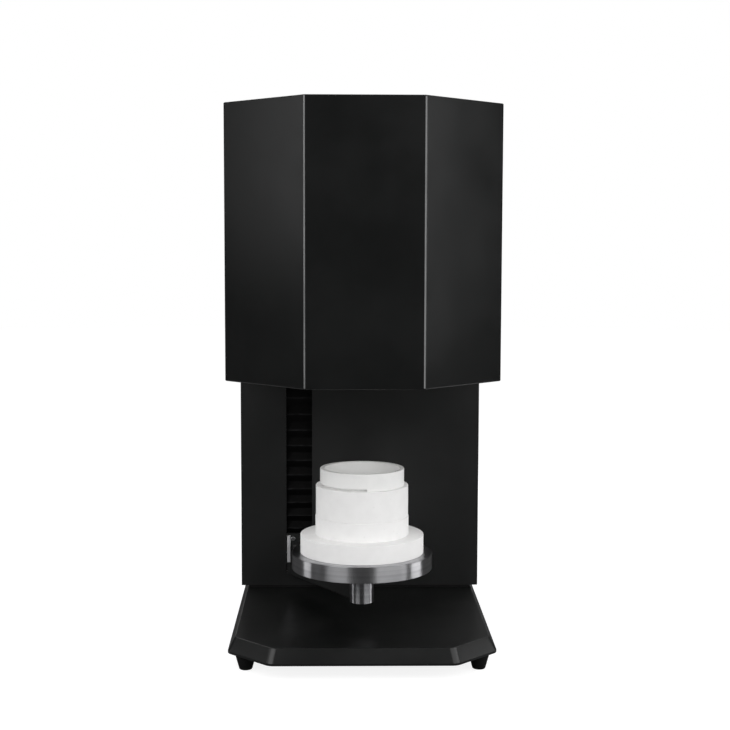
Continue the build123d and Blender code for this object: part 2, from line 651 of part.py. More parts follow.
with BuildPart() as can_lid:
    with BuildSketch(Plane((0, AXIS_Y, LID_Z))):
        Circle(FIBRE_R + CAN_WALL)
        with Locations(*ALL_LEGS):
            Circle(ELEMENT_TERMINAL_R + 2 * TERMINAL_CLEARANCE, mode=Mode.SUBTRACT)
        Circle(PROBE_R + TERMINAL_CLEARANCE, mode=Mode.SUBTRACT)
    extrude(amount=CAN_WALL)
can_lid.part.label = "can_lid"

with BuildPart() as insulation_floor:
    with BuildSketch(Plane((0, AXIS_Y, FURNACE_Z))):
        Circle(FIBRE_R)
        Circle(MOUTH_R, mode=Mode.SUBTRACT)
    extrude(amount=NECK_Z - RING_SEAM - FURNACE_Z)
    with BuildSketch(Plane((0, AXIS_Y, NECK_Z))):
        Circle(FIBRE_R)
        Circle(NECK_R, mode=Mode.SUBTRACT)
    extrude(amount=MUFFLE_Z - NECK_Z)
insulation_floor.part.label = "insulation_floor"

with BuildPart() as insulation_wall:
    with BuildSketch(Plane((0, AXIS_Y, MUFFLE_Z))):
        Circle(FIBRE_R)
        Circle(MUFFLE_R, mode=Mode.SUBTRACT)
    extrude(amount=MUFFLE_HEIGHT)
insulation_wall.part.label = "insulation_wall"

with BuildPart() as insulation_roof:
    with BuildSketch(Plane((0, AXIS_Y, ROOF_Z))):
        Circle(FIBRE_R)
        with Locations(*ALL_LEGS):
            Circle(ELEMENT_TERMINAL_R + TERMINAL_CLEARANCE, mode=Mode.SUBTRACT)
        Circle(PROBE_R + TERMINAL_CLEARANCE, mode=Mode.SUBTRACT)
    extrude(amount=LID_Z - CAN_TOP_GAP - ROOF_Z)
insulation_roof.part.label = "insulation_roof"

ELEMENT_BOTTOM = MUFFLE_Z + ELEMENT_BOTTOM_GAP
TERMINAL_Z = ROOF_Z - ELEMENT_TERMINAL_DROP
TERMINAL_TOP = HOLDER_Z + ELEMENT_STICK_OUT
heating_elements = []
for number, angle in enumerate(ELEMENT_ANGLES, start=1):
    turn = math.radians(angle)
    element_plane = Plane(
        origin=(ELEMENT_RADIUS * math.cos(turn), AXIS_Y + ELEMENT_RADIUS * math.sin(turn), 0),
        x_dir=(-math.sin(turn), math.cos(turn), 0),
        z_dir=(math.cos(turn), math.sin(turn), 0),
    )
    half_span = ELEMENT_SPAN / 2
    bend_z = ELEMENT_BOTTOM + half_span
    with BuildPart() as element:
        with BuildLine(element_plane) as hot_path:
            Line((-half_span, TERMINAL_Z), (-half_span, bend_z))
            ThreePointArc((-half_span, bend_z), (0, ELEMENT_BOTTOM), (half_span, bend_z))
            Line((half_span, bend_z), (half_span, TERMINAL_Z))
        with BuildSketch(Plane(hot_path.line @ 0, z_dir=hot_path.line % 0)):
            Circle(ELEMENT_ROD_R)
        sweep(path=hot_path.line)
        with BuildSketch(Plane((0, AXIS_Y, TERMINAL_Z))):
            with Locations(*leg_places(angle)):
                Circle(ELEMENT_TERMINAL_R)
        extrude(amount=TERMINAL_TOP - TERMINAL_Z)
    element.part.label = f"heating_element_{number}"
    heating_elements.append(element)

with BuildPart() as element_holders:
    with BuildSketch(Plane((0, AXIS_Y, HOLDER_Z))):
        with PolarLocations(ELEMENT_RADIUS, len(ELEMENT_ANGLES), start_angle=ELEMENT_ANGLES[0]):
            Rectangle(HOLDER_WIDTH, HOLDER_LENGTH)
        with Locations(*ALL_LEGS):
            Circle(ELEMENT_TERMINAL_R + HOLDER_CLEARANCE, mode=Mode.SUBTRACT)
    extrude(amount=HOLDER_HEIGHT)
element_holders.part.label = "element_holders"

with BuildPart() as element_straps:
    for first, second in zip(ELEMENT_ANGLES[:-1], ELEMENT_ANGLES[1:]):
        start = leg_places(first)[1]
        end = leg_places(second)[0]
        middle = ((start[0] + end[0]) / 2, (start[1] + end[1]) / 2)
        heading = math.degrees(math.atan2(end[1] - start[1], end[0] - start[0]))
        with BuildSketch(Plane((0, AXIS_Y, STRAP_Z))):
            with Locations(middle):
                SlotCenterToCenter(math.dist(start, end), STRAP_WIDTH, rotation=heading)
            with Locations(start, end):
                Circle(ELEMENT_TERMINAL_R + HOLDER_CLEARANCE / 2, mode=Mode.SUBTRACT)
        extrude(amount=STRAP_THICKNESS)
element_straps.part.label = "element_straps"

with BuildPart() as thermocouple:
    with BuildSketch(Plane((0, AXIS_Y, ROOF_Z - PROBE_DROP))):
        Circle(PROBE_R)
    extrude(amount=HOLDER_Z - ROOF_Z + PROBE_DROP)
    with BuildSketch(Plane((0, AXIS_Y, HOLDER_Z))):
        Circle(PROBE_HEAD_R)
    extrude(amount=PROBE_HEAD_HEIGHT)
    fillet(thermocouple.edges().group_by(Axis.Z)[-1], radius=PROBE_HEAD_EDGE_R)
    fillet(thermocouple.edges().group_by(Axis.Z)[0], radius=PROBE_TIP_R)
thermocouple.part.label = "thermocouple"

# ================================================================ lift
with BuildPart() as lift_back_plate:
    with BuildSketch(Plane((SLOT_X, RAIL_REAR + BACK_PLATE / 2, BASE_TOP))):
        Rectangle(CARRIAGE_WIDTH, BACK_PLATE)
    extrude(amount=MOTOR_Z - BASE_TOP)
    shelf_front = SCREW_Y - MOTOR_SIZE / 2 - MOTOR_SHELF_MARGIN
    shelf_rear = SCREW_Y + MOTOR_SIZE / 2 + MOTOR_SHELF_MARGIN
    with BuildSketch(Plane((SLOT_X, 0, MOTOR_SHELF_Z))):
        with Locations((0, (shelf_front + shelf_rear) / 2)):
            Rectangle(MOTOR_SIZE + 2 * MOTOR_SHELF_MARGIN, shelf_rear - shelf_front)
    extrude(amount=MOTOR_SHELF)
    with BuildSketch(Plane((SLOT_X, SCREW_Y, MOTOR_SHELF_Z))):
        Circle(COUPLING_R + COUPLING_CLEARANCE)
    extrude(amount=MOTOR_SHELF, mode=Mode.SUBTRACT)
lift_back_plate.part.label = "lift_back_plate"

with BuildPart() as guide_rails:
    for rail_x in RAIL_XS:
        with BuildSketch(Plane((rail_x, (RAIL_FRONT + RAIL_REAR) / 2, RAIL_BOTTOM))):
            Rectangle(RAIL_SIZE, RAIL_SIZE)
        extrude(amount=CARRIAGE_TOP + TRAVEL + BLOCK_SIDE_REACH - RAIL_BOTTOM)
guide_rails.part.label = "guide_rails"

with BuildPart() as carriage_blocks:
    for rail_x in RAIL_XS:
        for block_z in (CARRIAGE_BOTTOM, CARRIAGE_TOP - BLOCK_HEIGHT):
            block_rear = RAIL_FRONT + BLOCK_SIDE_REACH
            with BuildSketch(Plane((rail_x, (CARRIAGE_REAR + block_rear) / 2, block_z))):
                Rectangle(BLOCK_WIDTH, block_rear - CARRIAGE_REAR)
            extrude(amount=BLOCK_HEIGHT)
            with BuildSketch(Plane((rail_x, RAIL_FRONT - BLOCK_CLEARANCE + RAIL_SIZE / 2, block_z))):
                Rectangle(RAIL_SIZE + 2 * BLOCK_CLEARANCE, RAIL_SIZE)
            extrude(amount=BLOCK_HEIGHT, mode=Mode.SUBTRACT)
carriage_blocks.part.label = "carriage_blocks"

with BuildPart() as carriage_plate:
    with BuildSketch(Plane((SLOT_X, (CARRIAGE_FRONT + CARRIAGE_REAR) / 2, CARRIAGE_BOTTOM))):
        Rectangle(CARRIAGE_WIDTH, CARRIAGE_THICKNESS)
    extrude(amount=CARRIAGE_HEIGHT)
    chamfer(carriage_plate.edges().filter_by(Axis.Y), length=CARRIAGE_CHAMFER)
carriage_plate.part.label = "carriage_plate"

with BuildPart() as ball_nut:
    with BuildSketch(Plane((SLOT_X, SCREW_Y, CARRIAGE_BOTTOM + (CARRIAGE_HEIGHT - NUT_HEIGHT) / 2))):
        Rectangle(NUT_WIDTH, NUT_DEPTH)
        Circle(SCREW_SHAFT_R + RUNNING_CLEARANCE, mode=Mode.SUBTRACT)
    extrude(amount=NUT_HEIGHT)
ball_nut.part.label = "ball_nut"

LOWER_BEARING_Z = BASE_TOP + BEARING_RISE
SHAFT_START_Z = LOWER_BEARING_Z + BEARING_FLOOR
with BuildPart() as screw_bearings:
    bearing_front = CARRIAGE_REAR + BEARING_FRONT_GAP
    for bearing_z, bore_z in ((LOWER_BEARING_Z, SHAFT_START_Z), (TOP_BEARING_Z, TOP_BEARING_Z)):
        with BuildSketch(Plane((SLOT_X, (bearing_front + RAIL_REAR) / 2, bearing_z))):
            Rectangle(NUT_WIDTH, RAIL_REAR - bearing_front)
        extrude(amount=BEARING_HEIGHT)
        with BuildSketch(Plane((SLOT_X, SCREW_Y, bore_z))):
            Circle(SCREW_SHAFT_R + RUNNING_CLEARANCE)
        extrude(amount=bearing_z + BEARING_HEIGHT - bore_z, mode=Mode.SUBTRACT)
screw_bearings.part.label = "screw_bearings"

with BuildPart() as ball_screw:
    with BuildSketch(Plane((SLOT_X, SCREW_Y, SHAFT_START_Z + RUNNING_CLEARANCE))):
        Circle(SCREW_SHAFT_R)
    extrude(amount=TOP_BEARING_Z + BEARING_HEIGHT - SHAFT_START_Z)
    with BuildSketch(Plane((SLOT_X, SCREW_Y, TOP_BEARING_Z + BEARING_HEIGHT))):
        Circle(SCREW_END_R)
    extrude(amount=SHAFT_END_Z - TOP_BEARING_Z - BEARING_HEIGHT)
ball_screw.part.label = "ball_screw"

MOTOR_SHAFT_Z = SHAFT_END_Z + SHAFT_GAP
with BuildPart() as shaft_coupling:
    with BuildSketch(Plane((SLOT_X, SCREW_Y, COUPLING_Z))):
        Circle(COUPLING_R)
    extrude(amount=COUPLING_HEIGHT)
    with BuildSketch(Plane((SLOT_X, SCREW_Y, COUPLING_Z))):
        Circle(SCREW_END_R + RUNNING_CLEARANCE)
    extrude(amount=SHAFT_END_Z + RUNNING_CLEARANCE - COUPLING_Z, mode=Mode.SUBTRACT)
    with BuildSketch(Plane((SLOT_X, SCREW_Y, MOTOR_SHAFT_Z - RUNNING_CLEARANCE))):
        Circle(MOTOR_SHAFT_R + RUNNING_CLEARANCE)
    extrude(amount=COUPLING_HEIGHT, mode=Mode.SUBTRACT)
    chamfer(shaft_coupling.edges().filter_by(GeomType.CIRCLE).filter_by(
        lambda edge: abs(edge.radius - COUPLING_R) < SEAM), length=COUPLING_CHAMFER)
shaft_coupling.part.label = "shaft_coupling"

with BuildPart() as motor_shaft:
    with BuildSketch(Plane((SLOT_X, SCREW_Y, MOTOR_SHAFT_Z))):
        Circle(MOTOR_SHAFT_R)
    extrude(amount=MOTOR_Z + MOTOR_SHAFT_INSIDE - MOTOR_SHAFT_Z)
motor_shaft.part.label = "motor_shaft"

with BuildPart() as lift_motor:
    with BuildSketch(Plane((SLOT_X, SCREW_Y, MOTOR_Z))):
        RectangleRounded(MOTOR_SIZE, MOTOR_SIZE, MOTOR_CORNER_R)
    extrude(amount=MOTOR_HEIGHT)
    with BuildSketch(Plane((SLOT_X, SCREW_Y, MOTOR_Z))):
        Circle(MOTOR_SHAFT_R + RUNNING_CLEARANCE)
    extrude(amount=MOTOR_SHAFT_INSIDE + RUNNING_CLEARANCE, mode=Mode.SUBTRACT)
lift_motor.part.label = "lift_motor"

with BuildPart() as arm_bracket:
    with BuildSketch(facing_front(BRACKET_REAR)):
        with Locations((SLOT_X, (BRACKET_BOTTOM + BRACKET_TOP) / 2)):
            RectangleRounded(BRACKET_WIDTH, BRACKET_TOP - BRACKET_BOTTOM, BRACKET_CORNER_R)
        with Locations((BRACKET_LEFT + BAR_WIDTH / 2, (BAR_BOTTOM + BAR_TOP) / 2)):
            Rectangle(BAR_WIDTH, BAR_TOP - BAR_BOTTOM, mode=Mode.SUBTRACT)
    extrude(amount=BRACKET_THICKNESS)
    with BuildSketch(facing_front(BRACKET_REAR)):
        with Locations((SLOT_X, (STEM_BOTTOM + STEM_TOP) / 2)):
            Rectangle(SLOT_WIDTH - 2 * STEM_SIDE_GAP, STEM_TOP - STEM_BOTTOM)
    extrude(amount=-(CARRIAGE_FRONT - BRACKET_REAR))
    BRACKET_SCREW_Z = (ARM_TOP + BRACKET_TOP) / 2
    BRACKET_SCREWS = [
        (BRACKET_LEFT + BRACKET_SCREW_LEFT, BRACKET_SCREW_Z),
        (BRACKET_RIGHT - BRACKET_SCREW_RIGHT, BRACKET_SCREW_Z),
    ]
    with BuildSketch(facing_front(BRACKET_FRONT)):
        with Locations(*BRACKET_SCREWS):
            Circle(SCREW_R + THREAD_CLEARANCE)
    extrude(amount=-BRACKET_THICKNESS, mode=Mode.SUBTRACT)
arm_bracket.part.label = "arm_bracket"

with BuildPart() as bracket_side_bar:
    with BuildSketch(facing_front(BRACKET_REAR)):
        with Locations((BRACKET_LEFT + BAR_WIDTH / 2, (BAR_BOTTOM + BAR_TOP) / 2)):
            Rectangle(BAR_WIDTH, BAR_TOP - BAR_BOTTOM)
    extrude(amount=BAR_THICKNESS)
    chamfer(bracket_side_bar.faces().sort_by(Axis.Y)[0].edges(), length=BAR_CHAMFER)
bracket_side_bar.part.label = "bracket_side_bar"

with BuildPart() as bracket_screws:
    with BuildSketch(facing_front(BRACKET_FRONT)):
        with Locations(*BRACKET_SCREWS):
            Circle(SCREW_HEAD_R - SCREW_CLEARANCE)
    extrude(amount=SCREW_HEAD)
    with BuildSketch(facing_front(BRACKET_FRONT)):
        with Locations(*BRACKET_SCREWS):
            Circle(SCREW_R)
    extrude(amount=-BRACKET_SCREW_LENGTH)
    fillet(bracket_screws.edges().group_by(Axis.Y)[0], radius=BRACKET_SCREW_DOME_R)
    with BuildSketch(facing_front(BRACKET_FRONT - SCREW_HEAD)):
        with Locations(*BRACKET_SCREWS):
            RegularPolygon(HEX_R, 6)
    extrude(amount=-HEX_DEPTH, mode=Mode.SUBTRACT)
bracket_screws.part.label = "bracket_screws"

# The arm runs from the post to the bracket, its left side just clear of the side bar there.
bar_clear = Vector(BAR_RIGHT + ARM_BAR_GAP, BRACKET_FRONT - AXIS_Y, 0)
arm_angle = math.atan2(-bar_clear.X, bar_clear.Y) - math.asin(ARM_WIDTH / 2 / bar_clear.length)
arm_reach = Vector(-bar_clear.Y * math.tan(arm_angle), bar_clear.Y, 0)
arm_slope = (ARM_ROOT_BOTTOM - ARM_TIP_BOTTOM) / arm_reach.length
arm_run = arm_reach.length + ARM_WIDTH
arm_plane = Plane(
    origin=(0, AXIS_Y, 0),
    x_dir=arm_reach,
    z_dir=arm_reach.cross(Vector(0, 0, 1)),
)
with BuildPart() as lift_arm:
    with BuildSketch(arm_plane):
        with BuildLine():
            Polyline(
                (0, ARM_TIP_BOTTOM),
                (arm_run, ARM_TIP_BOTTOM + arm_slope * arm_run),
                (arm_run, ARM_TOP),
                (0, ARM_TOP),
                close=True,
            )
        make_face()
    extrude(amount=ARM_WIDTH / 2, both=True)
    long_edges = lift_arm.edges().filter_by(lambda edge: edge.length > arm_reach.length)
    fillet(long_edges, radius=ARM_EDGE_R)
    split(bisect_by=facing_front(BRACKET_FRONT), keep=Keep.TOP)
    with BuildSketch(Plane((0, AXIS_Y, 0))):
        Circle(POST_R)
    extrude(amount=PLATE_BOTTOM, mode=Mode.SUBTRACT)
lift_arm.part.label = "lift_arm"

with BuildPart() as plate_post:
    with BuildSketch(Plane((0, AXIS_Y, PLATE_BOTTOM - POST_LENGTH))):
        Circle(POST_R)
    extrude(amount=POST_LENGTH)
    chamfer(plate_post.edges().group_by(Axis.Z)[0], length=POST_CHAMFER)
plate_post.part.label = "plate_post"

with BuildPart() as lift_plate:
    with BuildSketch(Plane((0, AXIS_Y, PLATE_BOTTOM))):
        Circle(PLATE_R)
    extrude(amount=PLATE_THICKNESS)
    chamfer(lift_plate.edges().filter_by(GeomType.CIRCLE), length=PLATE_CHAMFER)
lift_plate.part.label = "lift_plate"


def bellows_profile(bottom, top, pleats, sag, fabric):
    """Side outline of a pleated strip whose folds spread out upwards by the sag share."""
    front = COLUMN_Y + SHEET + SEAM
    folds = []
    for k in range(2 * pleats + 1):
        share = k / (2 * pleats)
        height = bottom + (top - bottom) * (share + sag * (share * share - share))
        folds.append((front if k % 2 else front + BELLOWS_DEPTH, height))
    return folds + [(y + fabric, z) for y, z in reversed(folds)]


bellows_plane = Plane(origin=(SLOT_X, 0, 0), x_dir=(0, 1, 0), z_dir=(1, 0, 0))
with BuildPart() as upper_bellows:
    with BuildSketch(bellows_plane):
        with BuildLine():
            Polyline(
                *bellows_profile(STEM_TOP, SLOT_TOP, UPPER_PLEATS, BELLOWS_SAG, BELLOWS_FABRIC),
                close=True,
            )
        make_face()
    extrude(amount=BELLOWS_WIDTH / 2, both=True)
upper_bellows.part.label = "upper_bellows"

with BuildPart() as lower_bellows:
    with BuildSketch(bellows_plane):
        with BuildLine():
            Polyline(
                *bellows_profile(SLOT_BOTTOM, STEM_BOTTOM, LOWER_PLEATS, 0, LOWER_BELLOWS_FABRIC),
                close=True,
            )
        make_face()
    extrude(amount=BELLOWS_WIDTH / 2, both=True)
lower_bellows.part.label = "lower_bellows"

# ================================================================ pedestal and crucible
fibre_pieces = []
for piece_name, piece_z, piece_r, piece_height in (
    ("pedestal_disc", DISC_Z, DISC_R, DISC_HEIGHT),
    ("pedestal_lower_pad", LOWER_PAD_Z, LOWER_PAD_R, LOWER_PAD_HEIGHT),
    ("pedestal_upper_pad", UPPER_PAD_Z, UPPER_PAD_R, UPPER_PAD_HEIGHT),
):
    with BuildPart() as fibre_piece:
        with BuildSketch(Plane((0, AXIS_Y, piece_z))):
            Circle(piece_r)
        extrude(amount=piece_height)
        fillet(fibre_piece.edges().filter_by(GeomType.CIRCLE), radius=FIBRE_EDGE_R)
    fibre_piece.part.label = piece_name
    fibre_pieces.append(fibre_piece)

with BuildPart() as crucible:
    with BuildSketch(Plane((0, AXIS_Y, CRUCIBLE_Z))):
        Circle(CRUCIBLE_R)
    extrude(amount=CRUCIBLE_HEIGHT)
    with BuildSketch(Plane((0, AXIS_Y, CRUCIBLE_Z + CRUCIBLE_FLOOR))):
        Circle(CRUCIBLE_R - CRUCIBLE_WALL)
    extrude(amount=CRUCIBLE_HEIGHT, mode=Mode.SUBTRACT)
    fillet(crucible.edges().group_by(Axis.Z)[-1], radius=FIBRE_EDGE_R)
    with BuildSketch(Plane((0, AXIS_Y, CRUCIBLE_Z))):
        with BuildLine():
            outer_arc = CenterArc((0, 0), CRUCIBLE_R + NOTCH_DEPTH, NOTCH_START, NOTCH_SWEEP)
            inner_arc = CenterArc((0, 0), CRUCIBLE_R - NOTCH_DEPTH, NOTCH_START, NOTCH_SWEEP)
            Line(outer_arc @ 0, inner_arc @ 0)
            Line(outer_arc @ 1, inner_arc @ 1)
        make_face()
    extrude(amount=NOTCH_HEIGHT, mode=Mode.SUBTRACT)
crucible.part.label = "crucible"

# ================================================================ fan
fan_plane = facing_front(FAN_FRONT)
with BuildPart() as fan_frame:
    with BuildSketch(fan_plane):
        with Locations((FAN_X, FAN_Z)):
            RectangleRounded(FAN_SIZE, FAN_SIZE, FAN_CORNER_R)
            Circle(FAN_BORE_R, mode=Mode.SUBTRACT)
    extrude(amount=-FAN_DEPTH)
    with BuildSketch(fan_plane):
        with Locations((FAN_X, FAN_Z)):
            Rectangle(2 * FAN_BORE_R + FAN_PLATE, FAN_PLATE)
            Rectangle(FAN_PLATE, 2 * FAN_BORE_R + FAN_PLATE)
            Circle(FAN_HUB_R)
            Circle(FAN_SHAFT_R + RUNNING_CLEARANCE, mode=Mode.SUBTRACT)
    extrude(amount=-FAN_PLATE)
fan_frame.part.label = "fan_frame"

with BuildPart() as fan_rotor:
    hub_front = FAN_FRONT + FAN_PLATE + SEAM
    hub_length = FAN_DEPTH - FAN_PLATE - 3 * SEAM
    with BuildSketch(facing_front(hub_front)):
        with Locations((FAN_X, FAN_Z)):
            Circle(FAN_HUB_R)
    extrude(amount=-hub_length)
    with BuildSketch(facing_front(FAN_FRONT + SEAM)):
        with Locations((FAN_X, FAN_Z)):
            Circle(FAN_SHAFT_R)
    extrude(amount=-FAN_PLATE)
    chord = hub_length - FAN_BLADE_MARGIN
    for k in range(FAN_BLADES):
        turn = 2 * math.pi * k / FAN_BLADES
        blade_plane = Plane(
            origin=(FAN_X, hub_front + hub_length / 2, FAN_Z),
            x_dir=(0, 1, 0),
            z_dir=(math.cos(turn), 0, math.sin(turn)),
        )
        with BuildSketch(blade_plane.offset(FAN_HUB_R - FAN_BLADE_ROOT)):
            Rectangle(chord, FAN_BLADE_THICKNESS, rotation=FAN_BLADE_TILT)
        extrude(amount=FAN_BLADE_R - FAN_HUB_R + FAN_BLADE_ROOT)
fan_rotor.part.label = "fan_rotor"

with BuildPart() as fan_guard:
    eye_offset = FAN_SIZE / 2 - FAN_CORNER_R
    eye_places = [(FAN_X + u * eye_offset, FAN_Z + v * eye_offset) for u in (-1, 1) for v in (-1, 1)]
    with BuildSketch(facing_front(REAR_Y)):
        with Locations(*eye_places):
            Circle(GUARD_EYE_R)
    extrude(amount=-GUARD_THICKNESS)
    with BuildSketch(facing_front(REAR_Y + GUARD_THICKNESS)):
        with Locations((FAN_X, FAN_Z)):
            for ring_r in GUARD_RINGS:
                Circle(ring_r + GUARD_WIRE / 2)
                Circle(ring_r - GUARD_WIRE / 2, mode=Mode.SUBTRACT)
            for tilt in (45, 135):
                Rectangle(2 * eye_offset * math.sqrt(2), GUARD_WIRE, rotation=tilt)
    extrude(amount=GUARD_WIRE)
fan_guard.part.label = "fan_guard"

# ================================================================ mains inlet and switch
INLET_FRONT = REAR_Y + INLET_FLANGE_THICKNESS
ROCKER_PIVOT_Y = REAR_Y - ROCKER_PIVOT_DEPTH
ROCKER_PIVOT_Z = INLET_Z + ROCKER_Z
with BuildPart() as power_inlet:
    with BuildSketch(facing_front(REAR_Y)):
        with Locations((INLET_X, INLET_Z)):
            RectangleRounded(INLET_WIDTH + 2 * INLET_FLANGE, INLET_HEIGHT + 2 * INLET_FLANGE, INLET_FLANGE)
    extrude(amount=-INLET_FLANGE_THICKNESS)
    with BuildSketch(facing_front(REAR_Y)):
        with Locations((INLET_X, INLET_Z)):
            Rectangle(INLET_WIDTH, INLET_HEIGHT)
    extrude(amount=INLET_DEPTH)
    with BuildSketch(facing_front(INLET_FRONT)):
        with Locations((INLET_X, INLET_Z + SOCKET_Z)):
            Rectangle(SOCKET_WIDTH, SOCKET_HEIGHT)
    extrude(amount=SOCKET_DEPTH + INLET_FLANGE_THICKNESS, mode=Mode.SUBTRACT)
    with BuildSketch(facing_front(INLET_FRONT)):
        with Locations((INLET_X, ROCKER_PIVOT_Z)):
            Rectangle(ROCKER_WIDTH + 2 * ROCKER_SIDE_GAP, 2 * (ROCKER_HALF_HEIGHT + ROCKER_END_GAP))
    extrude(amount=INLET_FRONT - ROCKER_PIVOT_Y + ROCKER_DEPTH + ROCKER_BOTTOM_GAP, mode=Mode.SUBTRACT)
    pivot_plane = Plane(
        origin=(INLET_X, ROCKER_PIVOT_Y, ROCKER_PIVOT_Z), x_dir=(0, 1, 0), z_dir=(1, 0, 0)
    )
    with BuildSketch(pivot_plane):
        Circle(ROCKER_PIN_R + RUNNING_CLEARANCE)
    extrude(
        amount=ROCKER_WIDTH / 2 + ROCKER_PIN_LENGTH + SCREW_CLEARANCE, both=True, mode=Mode.SUBTRACT
    )
    with BuildSketch(facing_front(REAR_Y - SOCKET_DEPTH)):
        with Locations((INLET_X, INLET_Z + SOCKET_Z)):
            half_pitch = PIN_SPACING / 2
            with Locations((-half_pitch, -PIN_SHIFT), (half_pitch, -PIN_SHIFT), (0, PIN_SHIFT)):
                Rectangle(PIN_THICKNESS, PIN_WIDTH)
    extrude(amount=-PIN_LENGTH)
power_inlet.part.label = "power_inlet"

with BuildPart() as switch_rocker:
    tilt = math.radians(ROCKER_TILT)
    rocker_plane = Plane(
        origin=pivot_plane.origin, x_dir=(0, math.cos(tilt), math.sin(tilt)), z_dir=(1, 0, 0)
    )
    face_out = INLET_FRONT - ROCKER_PIVOT_Y
    with BuildSketch(rocker_plane):
        with BuildLine():
            Polyline(
                (face_out + ROCKER_PROUD, ROCKER_HALF_HEIGHT),
                (face_out + ROCKER_CENTRE_PROUD, 0),
                (face_out + ROCKER_PROUD, -ROCKER_HALF_HEIGHT),
                (-ROCKER_DEPTH, -ROCKER_HALF_HEIGHT + ROCKER_TAPER),
                (-ROCKER_DEPTH, ROCKER_HALF_HEIGHT - ROCKER_TAPER),
                close=True,
            )
        make_face()
    extrude(amount=ROCKER_WIDTH / 2, both=True)
    with BuildSketch(pivot_plane):
        Circle(ROCKER_PIN_R)
    extrude(amount=ROCKER_WIDTH / 2 + ROCKER_PIN_LENGTH, both=True)
switch_rocker.part.label = "switch_rocker"

# ================================================================ electrics
TRANSFORMER_Y = COLUMN_Y + COLUMN_DEPTH / 2 - COIL_OVERHANG
with BuildPart() as transformer:
    with BuildSketch(Plane((TRANSFORMER_X, TRANSFORMER_Y, BASE_TOP))):
        Rectangle(TRANSFORMER_WIDTH, TRANSFORMER_DEPTH - 2 * COIL_OVERHANG)
    extrude(amount=TRANSFORMER_HEIGHT)
    with BuildSketch(Plane((TRANSFORMER_X, TRANSFORMER_Y, BASE_TOP + TRANSFORMER_LIMB))):
        RectangleRounded(TRANSFORMER_WIDTH - 2 * TRANSFORMER_LIMB, TRANSFORMER_DEPTH, COIL_OVERHANG / 2)
    extrude(amount=TRANSFORMER_HEIGHT - 2 * TRANSFORMER_LIMB)
transformer.part.label = "transformer"

BOARD_REAR = REAR_Y - SHEET - STANDOFF_HEIGHT
with BuildPart() as control_board:
    with BuildSketch(facing_front(BOARD_REAR)):
        with Locations((BOARD_X, BOARD_Z)):
            Rectangle(BOARD_WIDTH, BOARD_HEIGHT)
    extrude(amount=BOARD_THICKNESS)
    with BuildSketch(facing_front(BOARD_REAR)):
        with Locations((BOARD_X, BOARD_Z)):
            with GridLocations(
                BOARD_WIDTH - 2 * STANDOFF_INSET, BOARD_HEIGHT - 2 * STANDOFF_INSET, 2, 2
            ):
                Circle(STANDOFF_R)
    extrude(amount=-STANDOFF_HEIGHT)
    with BuildSketch(facing_front(BOARD_REAR - BOARD_THICKNESS)):
        with Locations((BOARD_X, BOARD_Z)):
            with GridLocations(
                COMPONENT_PITCH_X, COMPONENT_PITCH_Z, COMPONENT_COLUMNS, COMPONENT_ROWS
            ):
                Rectangle(COMPONENT_SIZE, COMPONENT_SIZE)
    extrude(amount=STANDOFF_HEIGHT)
control_board.part.label = "control_board"

SINK_FRONT = REAR_Y - SHEET - SINK_FIN - SINK_BASE
with BuildPart() as heat_sink:
    with BuildSketch(facing_front(SINK_FRONT)):
        with Locations((BOARD_X, RELAY_Z)):
            Rectangle(SINK_WIDTH, SINK_HEIGHT)
    extrude(amount=-SINK_BASE)
    with BuildSketch(facing_front(SINK_FRONT + SINK_BASE)):
        with Locations((BOARD_X, RELAY_Z)):
            with GridLocations((SINK_WIDTH - SINK_FIN_THICKNESS) / (SINK_FINS - 1), 0, SINK_FINS, 1):
                Rectangle(SINK_FIN_THICKNESS, SINK_HEIGHT)
    extrude(amount=-SINK_FIN)
heat_sink.part.label = "heat_sink"

with BuildPart() as power_relay:
    with BuildSketch(facing_front(SINK_FRONT)):
        with Locations((BOARD_X, RELAY_Z)):
            RectangleRounded(RELAY_WIDTH, RELAY_HEIGHT, RELAY_CORNER_R)
    extrude(amount=RELAY_DEPTH)
power_relay.part.label = "power_relay"

# ================================================================ files
PIECES = [
    base_cover,
    base_plate,
    *feet,
    column_gasket,
    frame_posts,
    *side_panels,
    column_front_panel,
    rear_panel,
    rear_screws,
    hood_shell,
    top_cover,
    hood_bottom_plate,
    furnace_shelf,
    furnace_can,
    can_lid,
    insulation_floor,
    insulation_wall,
    insulation_roof,
    *heating_elements,
    element_holders,
    element_straps,
    thermocouple,
    lift_back_plate,
    guide_rails,
    screw_bearings,
    lift_motor,
    ball_screw,
    shaft_coupling,
    motor_shaft,
    ball_nut,
    carriage_plate,
    carriage_blocks,
    arm_bracket,
    bracket_side_bar,
    bracket_screws,
    lift_arm,
    plate_post,
    lift_plate,
    upper_bellows,
    lower_bellows,
    *fibre_pieces,
    crucible,
    fan_frame,
    fan_rotor,
    fan_guard,
    power_inlet,
    switch_rocker,
    transformer,
    control_board,
    heat_sink,
    power_relay,
]
for piece in PIECES:
    export_step(piece.part, f"parts/{piece.part.label}.step")
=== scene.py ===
"""Dental laboratory furnace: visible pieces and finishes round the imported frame."""

import json
import logging
import math
from collections.abc import Callable, Iterable, Mapping, Sequence
from dataclasses import dataclass, field
from enum import Enum
from typing import NamedTuple

import bmesh
import bpy
from mathutils import Matrix, Vector, noise

